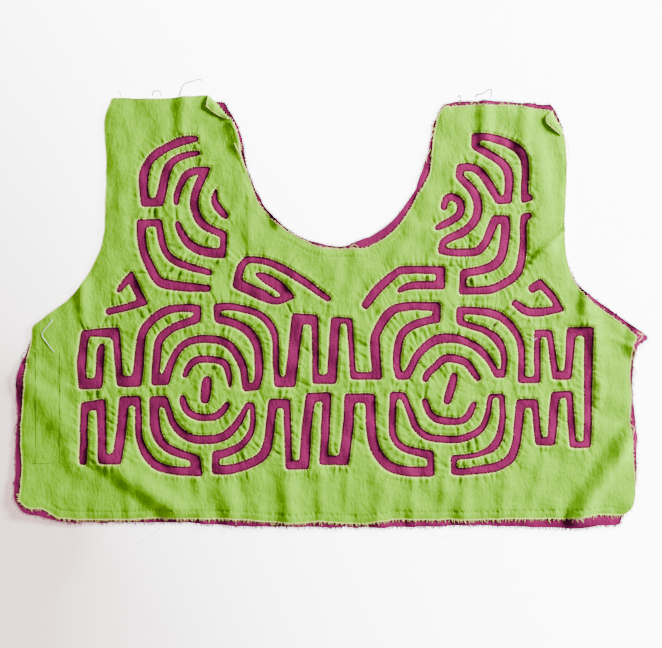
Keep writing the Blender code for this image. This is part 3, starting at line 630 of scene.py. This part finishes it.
class Edge:
    """A closed edge of a cloth: evenly spaced points, the way into the cloth, and length along it."""

    def __init__(self, loop, step, rounding, wander, scallop, back, into, rng):
        loop = np.array([tuple(at) for at in loop])
        closed = np.vstack([loop, loop[:1]])
        self.length = lengths_along(closed)[-1]
        count = int(round(self.length / step))
        at = np.arange(count) * self.length / count
        points = spaced(closed, at)
        for _ in range(rounding):
            points = (np.roll(points, 1, axis=0) + 2 * points + np.roll(points, -1, axis=0)) / 4
        self.points = points
        self.into = self.normals() * into
        waves = max(1, round(self.length / STITCH_PITCH))
        drawn_in = 0.5 + 0.5 * np.cos(2 * np.pi * waves * at / self.length)
        shift = wander * ripple(count, WANDER_LENGTH / step, rng) + scallop * drawn_in + back
        self.points = points + self.into * shift[:, None]

    def normals(self):
        ahead = np.roll(self.points, -1, axis=0) - np.roll(self.points, 1, axis=0)
        out = np.column_stack([ahead[:, 1], -ahead[:, 0]])
        return out / np.linalg.norm(out, axis=1)[:, None]

    def places(self, pitch, rng, jitter):
        """Points and ways in at about this pitch along the edge."""
        count = max(2, round(self.length / pitch))
        at = (np.arange(count) + rng.uniform(-jitter, jitter, count)) * self.length / count
        index = np.round(at / self.length * len(self.points)).astype(int) % len(self.points)
        return self.points[index], self.into[index]


def tree_of(points):
    tree = kdtree.KDTree(len(points))
    for i, (x, y) in enumerate(points):
        tree.insert((x, y, 0), i)
    tree.balance()
    return tree


class Nearest:
    """How far points are from the nearest of a set of edges, and on which side."""

    def __init__(self, edges):
        self.points = np.vstack([edge.points for edge in edges])
        self.into = np.vstack([edge.into for edge in edges])
        self.tree = tree_of(self.points)

    def away(self, points):
        """Distance from the edge, positive on the cloth's side."""
        index = np.array([self.tree.find((x, y, 0))[1] for x, y in points])
        offset = points - self.points[index]
        side = np.where((offset * self.into[index]).sum(axis=1) >= 0, 1, -1)
        return np.linalg.norm(offset, axis=1) * side


# The shape of the cloths

def bell(x):
    return np.exp(-(x**2))


def left_of(way):
    return np.array((-way[1], way[0]))


def turned(way, angle):
    return np.array((
        way[0] * math.cos(angle) - way[1] * math.sin(angle),
        way[0] * math.sin(angle) + way[1] * math.cos(angle),
    ))


def ridges(points, rows):
    """How high each ridge stands at the points."""
    for x0, y0, x1, y1, half_width, rise in rows:
        start = np.array((x0, y0))
        along = np.array((x1, y1)) - start
        share = np.clip((points - start) @ along / (along @ along), 0, 1)
        away = np.linalg.norm(points - start - share[:, None] * along, axis=1)
        yield rise * (1 + np.cos(np.pi * np.minimum(away / half_width, 1))) / 2


def fold_height(points):
    return np.max(list(ridges(points, FOLDS)), axis=0)


def crease_height(points):
    return sum(ridges(points, CREASES))


def slow_waves(points):
    """Slow waves over the whole cloth, from 0 to about 1."""
    rng = np.random.default_rng(5)
    height = np.zeros(len(points))
    for wave in SLOW_WAVES:
        turn = rng.uniform(0, np.pi)
        way = np.array((math.cos(turn), math.sin(turn)))
        height += np.sin(points @ way * 2 * np.pi / wave + rng.uniform(0, TURN))
    return np.clip(0.5 + height / 7, 0, 1)


def shallow_waves(points):
    """Shallow waves a few centimetres apart, steeper across the panel than along it."""
    rng = np.random.default_rng(8)
    height = np.zeros(len(points))
    for wave in SHALLOW_WAVES:
        turn = rng.normal(0, 0.6)
        way = np.array((math.cos(turn), math.sin(turn)))
        sway_length = wave * 2.7
        sway = 1.3 * np.sin(points @ left_of(way) * 2 * np.pi / sway_length + rng.uniform(0, TURN))
        rise = wave * 0.011
        height += rise * np.sin(points @ way * 2 * np.pi / wave + sway + rng.uniform(0, TURN))
    return height


def ground(points):
    """Height of the folded surface that both cloths follow."""
    waves = SLOW_RISE * slow_waves(points) + shallow_waves(points)
    return fold_height(points) + crease_height(points) + waves + GROUND_Z


def hex_grid(spacing):
    """Points of a hexagonal grid over the panel, with the level at which each may be left out."""
    columns = int(GRID_SIZE[0] / spacing)
    lines = int(GRID_SIZE[1] / (spacing * ROW_SHARE))
    i, j = np.meshgrid(np.arange(columns), np.arange(lines), indexing="ij")
    x = GRID_CORNER[0] + (i + 0.5 * (j % 2)) * spacing
    y = GRID_CORNER[1] + j * spacing * ROW_SHARE
    coarse = (i % 3 == 0) & (j % 3 == 0)
    middle = (i % 2 == 0) & (j % 2 == 0)
    level = np.where(coarse, 2, np.where(middle, 1, 0))
    return np.column_stack([x.ravel(), y.ravel()]), level.ravel()


def triangulated(loops, loose):
    """Points, triangles, the loops each triangle lies in, and where each loop's points lie now."""
    points = [Vector(at) for loop in loops for at in loop] + [Vector(at) for at in loose]
    faces = []
    start = 0
    for loop in loops:
        faces.append(list(range(start, start + len(loop))))
        start += len(loop)
    found = delaunay_2d_cdt(points, [], faces, 0, CDT_EPSILON)
    place = np.full(len(points), -1)
    for new, olds in enumerate(found[3]):
        for old in olds:
            place[old] = new
    flat = np.array([tuple(at) for at in found[0]])
    return flat, found[2], [set(inside) for inside in found[5]], [place[face] for face in faces]


def used_only(points, triangles, arrays):
    """The points that the triangles use, with the triangles and other arrays renumbered."""
    triangles = np.asarray(triangles)
    used, index = np.unique(triangles, return_inverse=True)
    renumber = np.full(len(points), -1)
    renumber[used] = np.arange(len(used))
    return points[used], index.reshape(triangles.shape), [renumber[a] for a in arrays]


def add_mesh(name, points, faces):
    mesh = bpy.data.meshes.new(name)
    mesh.from_pydata((np.asarray(points) * MM).tolist(), [], faces)
    mesh.polygons.foreach_set("use_smooth", np.ones(len(mesh.polygons), dtype=bool))
    mesh.update()
    made = bpy.data.objects.new(name, mesh)
    bpy.context.scene.collection.objects.link(made)
    return made


def set_attribute(piece, name, values):
    layer = piece.data.attributes.new(name, "FLOAT", "POINT")
    layer.data.foreach_set("value", np.asarray(values, dtype=np.float32))


def puckers(points, height, strokes):
    """Adds ridges and dips to height: rows of x, y, way x, way y, length, half width, rise, fading."""
    tree = tree_of(points)
    for x, y, way_x, way_y, length, half_width, rise, fading in strokes:
        middle = (x + way_x * length / 2, y + way_y * length / 2, 0)
        near = [hit[1] for hit in tree.find_range(middle, length / 2 + 2 * half_width)]
        if not near:
            continue
        offset = points[near] - (x, y)
        along = (offset @ (way_x, way_y)) / length
        across = (offset @ (-way_y, way_x)) / half_width
        run_up = np.clip(along * length / RUN_UP + RUN_UP_START, 0, 1)
        height[near] += rise * (np.clip(1 - along, 0, 1) ** fading * run_up) * bell(across)


def pucker_strokes(edges, near, rng, rise, spread, half_width):
    """Strokes from the stitched edges into the cloth: across a narrow band, fading out in an open one."""
    strokes = []
    for edge in edges:
        points, ways = edge.places(PUCKER_PITCH, rng, 0.45)
        room = np.full(len(points), OPEN_ROOM)
        for reach in range(int(OPEN_ROOM) - 1, 3, -1):
            room[near.away(points + ways * reach) < 1] = reach
        for at, way, free in zip(points, ways, room):
            angle = rng.normal(PUCKER_LEAN * way[0] ** 2, PUCKER_SCATTER)
            wide = half_width * rng.uniform(0.75, 1.3)
            height = rng.normal(rise, spread) * (1 - 0.5 * way[0] ** 2)
            if free == OPEN_ROOM:
                row = (rng.uniform(*OPEN_PUCKER), wide, height, 1.2)
            elif rng.uniform() < BRIDGE_SHARE:
                row = (free / max(0.5, math.cos(angle)), wide, height, 0.3)
            else:
                row = (rng.uniform(*SHORT_PUCKER), wide, height * 0.8, 1.2)
            strokes.append((*at, *turned(way, angle), *row))
    return strokes


def stay_dents(outline, rng):
    """Dents of the running stitches a few millimetres inside the hem and the neck."""
    dents = []
    for low_corner, high_corner in STAY_BOXES:
        points, ways = outline.places(STAY_PITCH, rng, 0.15)
        chosen = np.all((points > low_corner) & (points < high_corner), axis=1)
        for at, way in zip(points[chosen] + ways[chosen] * STAY_LINE, ways[chosen]):
            dents.append((*at, *turned(way, math.pi / 2), *STAY_DENT))
            outwards = turned(way, rng.normal(math.pi, 0.2))
            dents.append((*at, *outwards, rng.uniform(*STAY_PUCKER_LENGTH), *STAY_PUCKER))
    return dents


def top_pattern(outline, channels, near_channel, near_outline):
    """The top cloth laid flat: its points, its triangles and the points of each channel's edge."""
    loose = []
    for reach in ROLL_RINGS:
        for edge in channels:
            ring = edge.points + edge.into * reach
            loose.append(ring[near_channel.away(ring) > reach * 0.85])
    grid, level = hex_grid(FINE)
    away = near_channel.away(grid)
    raw = near_outline.away(grid)
    inside = raw > RAW_STEP * 0.6
    clear = away > ROLL_RINGS[-1] + FINE / 2
    near = (away < FINE_REACH) | (raw < STAY_LINE + 2)
    folded = fold_height(grid) + crease_height(grid) > FLAT_ENOUGH
    middling = ((away < MIDDLING_REACH) | folded) & (level > 0)
    loose.append(grid[inside & clear & (near | middling | (level > 1))])
    loops = [outline.points] + [edge.points for edge in channels]
    flat, triangles, labels, loop_index = triangulated(loops, np.vstack(loose))
    chosen = [t for t, inside in zip(triangles, labels) if inside == {0}]
    return used_only(flat, chosen, loop_index[1:])


def sewn_relief(flat, outline, channels, near_channel, rng):
    """What the sewing draws into the top cloth: puckers, and the dents of every stitch."""
    relief = np.zeros(len(flat))
    for rise, spread, half_width in PUCKERS:
        puckers(flat, relief, pucker_strokes(channels, near_channel, rng, rise, spread, half_width))
    dents = stay_dents(outline, rng)
    for edge in channels:
        points, ways = edge.places(STITCH_PITCH, rng, 0.12)
        dents += [(*at, *way, *STITCH_DENT) for at, way in zip(points, ways)]
    puckers(flat, relief, dents)
    return relief


def top_cloth(outline, channels, near_channel, near_outline, rng):
    flat, triangles, channel_index = top_pattern(outline, channels, near_channel, near_outline)
    away = np.maximum(near_channel.away(flat), 0)
    raw = np.abs(near_outline.away(flat))
    cavity = sewn_relief(flat, outline, channels, near_channel, rng)
    height = cavity + (ground(flat) + TOP_Z)
    height += PUFF_RISE * bell((away - PUFF_MIDDLE) / PUFF_REACH)
    height -= ROLL_DROP * bell(away / ROLL_REACH)
    height -= (TOP_Z - RAW_Z) * bell(raw / RAW_REACH)

    points = [np.column_stack([flat, height])]
    faces = triangles.tolist()
    # The edge value sets where the material paints the green paler: a painted highlight near the channel
    # edges, and paler towards the raw edges
    edge_values = [np.minimum(away, raw * RAW_PALING + RAW_PALE)]
    count = len(flat)
    # Lips from each turned edge down to the under cloth; their negative edge value gives them a painted
    # dark shadow line
    for index, edge in zip(channel_index, channels):
        lip = flat[index] - edge.into * LIP_SPREAD
        points.append(np.column_stack([lip, ground(flat[index]) + UNDER_Z + LIP_GAP]))
        edge_values.append(np.full(len(index), -LIP_SPREAD))
        low = np.arange(len(index)) + count
        count += len(index)
        faces += np.column_stack([np.roll(index, -1), index, low, np.roll(low, -1)]).tolist()
    piece = add_mesh("green_cloth", np.vstack(points), faces)
    set_attribute(piece, "edge", np.concatenate(edge_values))
    # The sewn relief, which the material also uses for painted shade in the valleys
    set_attribute(piece, "cavity", np.concatenate([cavity, np.zeros(count - len(flat))]))
    return piece


def under_cloth(outline, channels, near_channel, near_outline, near_cover):
    grid, level = hex_grid(UNDER_SPACING)
    away = near_channel.away(grid)
    raw = near_outline.away(grid)
    inside = raw > UNDER_CLEAR
    clear = (away < -UNDER_CLEAR) | (away > 0.7)
    kept = inside & clear & ((away < 0) | (raw < UNDER_REACH) | (level > 1))
    loose = [grid[kept]]
    loose += [edge.points[::2] - edge.into[::2] * reach for edge in channels for reach in UNDER_RINGS]
    flat, triangles, labels, _ = triangulated([outline.points], np.vstack(loose))
    chosen = [t for t, inside in zip(triangles, labels) if inside]
    flat, chosen, _ = used_only(flat, chosen, [])
    away = np.maximum(-near_channel.away(flat), -near_cover.away(flat))
    raw = near_outline.away(flat)
    height = ground(flat) + UNDER_Z
    height += CROWN_RISE * np.sin(np.clip(away / CROWN_REACH, 0, 1) * np.pi / 2)
    height -= UNDER_DROP * bell(raw / UNDER_DROP_REACH)
    piece = add_mesh("plum_cloth", np.column_stack([flat, height]), chosen.tolist())
    set_attribute(piece, "edge", away)
    return piece


# Threads

def tubes(name, paths, radius, sides, taper=1.0):
    """One mesh of many thin tubes. paths holds, for each tube, as many x, y, z points as for the next."""
    paths = np.asarray(paths, dtype=float)
    count, steps, _ = paths.shape
    tangent = np.gradient(paths, axis=1)
    tangent /= np.linalg.norm(tangent, axis=2, keepdims=True) + 1e-9
    side = np.cross(tangent, (0.02, 0.01, 1.0))
    side /= np.linalg.norm(side, axis=2, keepdims=True) + 1e-9
    up = np.cross(side, tangent)
    thick = radius * np.linspace(1, taper, steps)[None, :, None]
    rings = []
    for k in range(sides):
        turn = 2 * math.pi * k / sides
        rings.append(paths + (side * math.cos(turn) + up * math.sin(turn)) * thick)
    points = np.stack(rings, axis=2).reshape(-1, 3)
    index = np.arange(count * steps * sides).reshape(count, steps, sides)
    a = index[:, :-1]
    b = index[:, 1:]
    quads = np.stack([a, np.roll(a, -1, axis=2), np.roll(b, -1, axis=2), b], axis=-1)
    faces = quads.reshape(-1, 4).tolist()
    faces += index[:, 0, ::-1].tolist()
    faces += index[:, -1].tolist()
    return add_mesh(name, points, faces)


def along_line(points, count):
    """This many points evenly along a smooth line through these."""
    line = np.array([tuple(at) for at in smooth([Vector((*at, 0)) for at in points], 0.8)])[:, :2]
    return spaced(line, np.linspace(0, lengths_along(line)[-1], count))


def laid_on(points, near_top, near_under):
    """Height of whatever lies uppermost at these points, evened out over the steps at raw edges."""
    lifted = ground(points)
    height = np.where(near_under.away(points) > 0, lifted + UNDER_Z, 0.0)
    height = np.where(near_top.away(points) > 0, lifted + TOP_Z, height)
    padded = np.pad(height, 1, mode="edge")
    return (padded[:-2] + 2 * height + padded[2:]) / 4


def threads(name, rows, lift, near_top, near_under):
    """Loose threads, tapering a little, that lie this far above what is under them."""
    paths = []
    for radius, points in rows:
        line = along_line(points, THREAD_POINTS)
        height = laid_on(line, near_top, near_under) + radius + lift
        paths.append(np.column_stack([line, height]))
    radii = np.array([radius for radius, _ in rows])[:, None, None]
    return tubes(name, paths, radii, THREAD_SIDES, 0.7)


def flap(name, fold, free):
    """A strap corner rolled over on itself, from its fold to its free edge."""
    fold = along_line(fold, FLAP_POINTS)
    free = along_line(free, FLAP_POINTS)
    width = np.linalg.norm(fold - free, axis=1)
    low = ground(fold) + TOP_Z - FLAP_SINK
    rise = FLAP_RISE * np.sqrt(width / width.max())
    columns = [np.column_stack([fold, low - FLAP_HEM])]
    edges = [np.full(len(fold), 3.0)]
    for v in np.linspace(0, 1, FLAP_ROWS):
        spread = fold + (free - fold) * (v - 0.1 * math.sin(math.pi * v))
        height = low + rise * math.sin(0.62 * math.pi * v**0.7)
        columns.append(np.column_stack([spread, height]))
        # The edge value paints the flap paler towards its free edge and its first end, as a painted
        # highlight
        edges.append(np.minimum((1 - v) * width, np.linalg.norm(spread - spread[0], axis=1)))
    points = np.stack(columns, axis=1)
    lines, count, _ = points.shape
    index = np.arange(lines * count).reshape(lines, count)
    quads = np.stack([index[:-1, :-1], index[1:, :-1], index[1:, 1:], index[:-1, 1:]], axis=-1)
    piece = add_mesh(name, points.reshape(-1, 3), quads.reshape(-1, 4).tolist())
    set_attribute(piece, "edge", np.stack(edges, axis=1).ravel())
    set_attribute(piece, "cavity", np.zeros(lines * count))
    return piece


def hem_stitches(channels, rng):
    """The slanted threads that catch each channel edge down."""
    paths = []
    for edge in channels:
        points, ways = edge.places(STITCH_PITCH, rng, 0.1)
        for at, way, z in zip(points, ways, ground(points)):
            slant = left_of(way) * rng.uniform(*STITCH_SLANT)
            reach = rng.uniform(*STITCH_REACH)
            root = at - way * rng.uniform(*STITCH_ROOT) - slant / 2
            fold = at + way * 0.15
            tip = at + way * reach + slant / 2
            paths.append([
                (*root, z + UNDER_Z + 0.15), (*fold, z + TOP_Z - 0.25), (*tip, z + TOP_Z - 0.15),
            ])
    return tubes("hem_stitches", paths, STITCH_RADIUS, 4)


def fray(name, edge, pitch, lengths, z, rng, radius, off_hem):
    """Yarn ends along a raw edge, leaning and curling at random, off_hem times as long elsewhere."""
    points, ways = edge.places(pitch, rng, 0.45)
    lengths = rng.uniform(*lengths, len(points)) * rng.uniform(0.35, 1, len(points))
    lengths *= np.where(points[:, 1] < HEM_TOP, 1, off_hem)
    paths = []
    for at, way, length, low in zip(points, ways, lengths, ground(points)):
        ahead = turned(-way, rng.normal(0, 0.4))
        bend = left_of(ahead) * rng.normal(0, 0.25) * length
        height = low + z + rng.uniform(-0.1, 0.15)
        end_height = max(LOWEST_END, height - length * rng.uniform(0, 0.3))
        root = at + way * 0.7
        middle = at + ahead * length * 0.45 + bend * 0.3
        tip = at + ahead * length + bend
        paths.append([
            (*root, height + 0.1), (*middle, (height + end_height) / 2 + 0.15), (*tip, end_height),
        ])
    return tubes(name, paths, radius, 3, 0.6)


# Materials

class Maths:
    """A number inside a material. Arithmetic on it makes Math nodes."""

    def __init__(self, shader, socket):
        self.shader = shader
        self.socket = socket

    def via(self, operation, *others):
        node = self.shader.node("ShaderNodeMath", operation=operation)
        for place, value in zip(node.inputs, (self,) + others):
            self.shader.put(place, value)
        return Maths(self.shader, node.outputs[0])

    def __add__(self, other):
        return self.via("ADD", other)

    def __sub__(self, other):
        return self.via("SUBTRACT", other)

    def __rsub__(self, other):
        return self * -1 + other

    def __mul__(self, other):
        return self.via("MULTIPLY", other)

    def __truediv__(self, other):
        return self.via("DIVIDE", other)

    __radd__ = __add__
    __rmul__ = __mul__

    def clamped(self):
        node = self.shader.node("ShaderNodeClamp")
        self.shader.put(node.inputs[0], self)
        return Maths(self.shader, node.outputs[0])


class Shader:
    """A Principled material built from nodes."""

    def __init__(self, name, roughness, **constants):
        self.material = bpy.data.materials.new(name)
        self.material.use_nodes = True
        self.tree = self.material.node_tree
        self.surface = self.tree.nodes["Principled BSDF"]
        self.surface.inputs["Roughness"].default_value = roughness
        for key, value in constants.items():
            self.surface.inputs[key.replace("_", " ")].default_value = value

    def node(self, kind, inputs=None, **settings):
        made = self.tree.nodes.new(kind)
        for key, value in settings.items():
            setattr(made, key, value)
        for key, value in (inputs or {}).items():
            self.put(made.inputs[key], value)
        return made

    def put(self, socket, value):
        if isinstance(value, Maths):
            self.tree.links.new(value.socket, socket)
        elif isinstance(value, bpy.types.NodeSocket):
            self.tree.links.new(value, socket)
        elif isinstance(value, tuple) and len(value) == 3 and socket.type == "RGBA":
            socket.default_value = (*value, 1)
        else:
            socket.default_value = value

    def place(self):
        """x, y and z of the point in millimetres."""
        point = self.node("ShaderNodeTexCoord").outputs["Object"]
        split = self.node("ShaderNodeSeparateXYZ", {0: point})
        return [Maths(self, out) * 1000 for out in split.outputs]

    def attribute(self, name):
        return Maths(self, self.node("ShaderNodeAttribute", attribute_name=name).outputs["Fac"])

    def noise(self, x, y, z=0.0, detail=2.0):
        where = self.node("ShaderNodeCombineXYZ", {0: x, 1: y, 2: z})
        inputs = {"Vector": where.outputs[0], "Scale": 1.0, "Detail": detail}
        return Maths(self, self.node("ShaderNodeTexNoise", inputs).outputs["Fac"])

    def scaled(self, colour, share):
        inputs = {0: colour, "Scale": share}
        return self.node("ShaderNodeVectorMath", inputs, operation="SCALE").outputs[0]

    def mix(self, share, first, second):
        made = self.node("ShaderNodeMix", data_type="RGBA")
        self.put(made.inputs["Factor"], share)
        self.put(made.inputs[6], first)
        self.put(made.inputs[7], second)
        return made.outputs[2]

    def colour(self, value):
        self.put(self.surface.inputs["Base Color"], value)

    def bump(self, height, strength, distance):
        inputs = {"Height": height, "Strength": strength, "Distance": distance}
        self.put(self.surface.inputs["Normal"], self.node("ShaderNodeBump", inputs).outputs[0])


def weave(shader, x, y):
    """Height of a plain weave of 0.45 mm yarns, uneven like hand-woven cotton."""
    wander = shader.noise(x * 0.5, y * 0.5) * 0.7
    across = (x * WEAVE_TURNS + wander).via("SINE")
    down = (y * WEAVE_TURNS + wander).via("SINE")
    return across * down


def cotton(name, colour, shade_colour_for_valleys, painted_edge_colour, edge_reach, edge_share, slub):
    """Matte cotton. Each edge is painted towards the given edge colour over edge_reach, full for
    edge_share of it: a painted highlight on the green, painted shade on the plum. Sewn valleys get
    painted shade, and the lips under turned edges a painted shadow.
    """
    shader = Shader(name, 0.95, Specular_IOR_Level=0.05)
    x, y, _ = shader.place()
    streaks = shader.noise(x * 1.1, y * 0.06, 3.0, detail=3.0)
    cross_streaks = shader.noise(x * 0.05, y * 1.3, 7.0, detail=3.0)
    cloud = shader.noise(x * 0.03, y * 0.03, 1.0)
    tone = 1 + (streaks - 0.5) * slub + (cross_streaks - 0.5) * slub * 0.7 + (cloud - 0.5) * 0.16
    edge = shader.attribute("edge")
    uneven = shader.noise(x * 0.8, y * 0.8, 11.0)
    # Painted highlight on the green and painted shade on the plum, near the edges
    fading = (1 - edge / edge_reach) / (1 - edge_share)
    edge_paint_share = (fading.clamped() * (uneven * 0.9 + 0.5)).clamped()
    # Painted shade in the sewn valleys
    valley_shade = (shader.attribute("cavity") * -1.1 - 0.1).clamped() * 0.6
    shaded = shader.mix(valley_shade, shader.scaled(colour, tone), shade_colour_for_valleys)
    with_edge_paint = shader.mix(edge_paint_share, shaded, painted_edge_colour)
    # Painted shadow on the lips under the turned edges
    lip_shadow = (edge / -0.22).clamped() * 0.85
    shader.colour(shader.mix(lip_shadow, with_edge_paint, PLUM_SHADE))
    fine_crumple = shader.noise(x * 0.55, y * 0.3, 5.0, detail=3.0)
    broad_crumple = shader.noise(x * 0.16, y * 0.1, 9.0, detail=3.0)
    crumple = fine_crumple + broad_crumple * 2
    shader.bump(crumple * 4 + weave(shader, x, y) * 0.25 + streaks, 0.6, BUMP_HEIGHT)
    return shader


def yarn(name, colour):
    shader = Shader(name, 0.85, Specular_IOR_Level=0.1)
    x, y, z = shader.place()
    shader.colour(shader.scaled(colour, 0.85 + shader.noise(x * 0.9, y * 0.9, z * 0.9) * 0.35))
    return shader


def dress(piece, shader):
    piece.data.materials.append(shader.material)
    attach(piece, "root")


# The panel

rng = np.random.default_rng(11)
channels = [
    Edge(channel_loop(rows), EDGE_STEP, rounding=6, wander=0.2, scallop=0.2, back=SET_BACK, into=1,
         rng=rng)
    for rows in CHANNELS
]
top_outline, under_outline = [
    Edge(outline_loop(rows), RAW_STEP, rounding=2, wander=wander, scallop=0, back=0, into=-1, rng=rng)
    for rows, wander in ((TOP_ROWS, 0.35), (UNDER_ROWS, 0.45))
]
near_channel = Nearest(channels)
near_top = Nearest([top_outline])
near_under = Nearest([under_outline])

# The green's edges take a painted highlight, and its sewn valleys painted shade
green_cotton = cotton(
    "green_cotton", GREEN, GREEN_VALLEY_SHADE, GREEN_EDGE_HIGHLIGHT_AND_WEAR, edge_reach=0.65, edge_share=0.2, slub=0.3,
)
# The plum takes painted shade near the channel edges and under the green
plum_cotton = cotton(
    "plum_cotton", PLUM, PLUM_SHADE, PLUM_SHADE, edge_reach=1.6, edge_share=0.62, slub=0.25,
)
yarns = {name: yarn(name, colour) for name, colour in YARN_COLOURS.items()}

green_cloth = top_cloth(top_outline, channels, near_channel, near_top, rng)
plum_cloth = under_cloth(under_outline, channels, near_channel, near_under, near_top)
dress(green_cloth, green_cotton)
dress(plum_cloth, plum_cotton)
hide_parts("top_cloth")
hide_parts("under_cloth")

stitches = hem_stitches(channels, rng)
dress(stitches, yarns["lime_thread"])
green_fray = fray("green_fray", top_outline, 1.1, (1.6, 4.0), RAW_Z, rng, radius=0.27, off_hem=0.4)
dress(green_fray, yarns["cream_yarn"])
plum_fray = fray("plum_fray", under_outline, 0.55, (1.0, 3.2), UNDER_Z, rng, radius=0.42, off_hem=0.6)
dress(plum_fray, yarns["plum_yarn"])

for name, rows, lift, colour, slot in (
    ("white_threads", WHITE_THREADS, 0.1, "white_thread", "green_cotton"),
    ("cream_threads", CREAM_THREADS, 0.2, "cream_yarn", "green_cotton"),
    ("plum_threads", PLUM_THREADS, 0.1, "brown_thread", "plum_cotton"),
    ("pencil_lines", PENCIL_LINES, -0.15, "pencil", "green_cotton"),
):
    piece = threads(name, rows, lift, near_top, near_under)
    dress(piece, yarns[colour])
for side, (fold, free) in zip(("left", "right"), FLAPS):
    piece = flap("corner_flap_" + side, fold, free)
    dress(piece, green_cotton)


# Floor, light and camera

def floor():
    """Pale paper, lit by its own glow, with a painted soft shade towards the lower left and a painted
    shadow off the cloth's left side.
    """
    bpy.ops.object.select_all(action="DESELECT")
    bpy.ops.mesh.primitive_plane_add(size=3)
    piece = bpy.context.object
    piece.name = "floor"
    shader = Shader("floor_paper", 0.8, Emission_Strength=1.0)
    x, y, _ = shader.place()
    cloud = shader.noise(x * 0.02, y * 0.02)
    grain = shader.noise(x * 0.4, y * 0.4, 2.0, detail=4.0)
    shader.colour(shader.scaled(PAPER, 0.97 + cloud * 0.04 + grain * 0.02))
    shade = ((x * -0.8 + y * -0.7 + 60) / 330).clamped() * ((200 - x) / 420).clamped()
    # Painted shadow beside the cloth's left side, round a spot off its lower left
    from_shadow_spot = ((x + 235) * (x + 235) + (y + 120) * (y + 120) * 0.5).via("SQRT")
    shade = (shade + (1 - from_shadow_spot / 75).clamped() * 0.25).clamped()
    in_view = (3 - (x * x + y * y).via("SQRT") / 180).clamped()
    glow = shader.mix(shade * in_view, PAPER_GLOW, PAPER_SHADE)
    shader.put(shader.surface.inputs["Emission Color"], glow)
    piece.data.materials.append(shader.material)


def window():
    data = bpy.data.lights.new("window", "AREA")
    data.shape = "SQUARE"
    data.size = 0.42
    data.energy = 93
    data.color = (1.0, 0.985, 0.95)
    lamp = bpy.data.objects.new("window", data)
    lamp.location = WINDOW_PLACE
    lamp.rotation_euler = (-Vector(WINDOW_PLACE)).to_track_quat("-Z", "Y").to_euler()
    bpy.context.scene.collection.objects.link(lamp)


def room():
    world = bpy.data.worlds.new("studio")
    world.use_nodes = True
    background = world.node_tree.nodes["Background"]
    background.inputs["Color"].default_value = (0.95, 0.97, 1.0, 1)
    background.inputs["Strength"].default_value = 0.27
    bpy.context.scene.world = world


def camera():
    data = bpy.data.cameras.new("camera")
    data.lens = 85
    made = bpy.data.objects.new("camera", data)
    made.location = (-0.0004, -0.009, VIEW_WIDTH * data.lens / data.sensor_width)
    bpy.context.scene.collection.objects.link(made)
    bpy.context.scene.camera = made


floor()
window()
room()
camera()
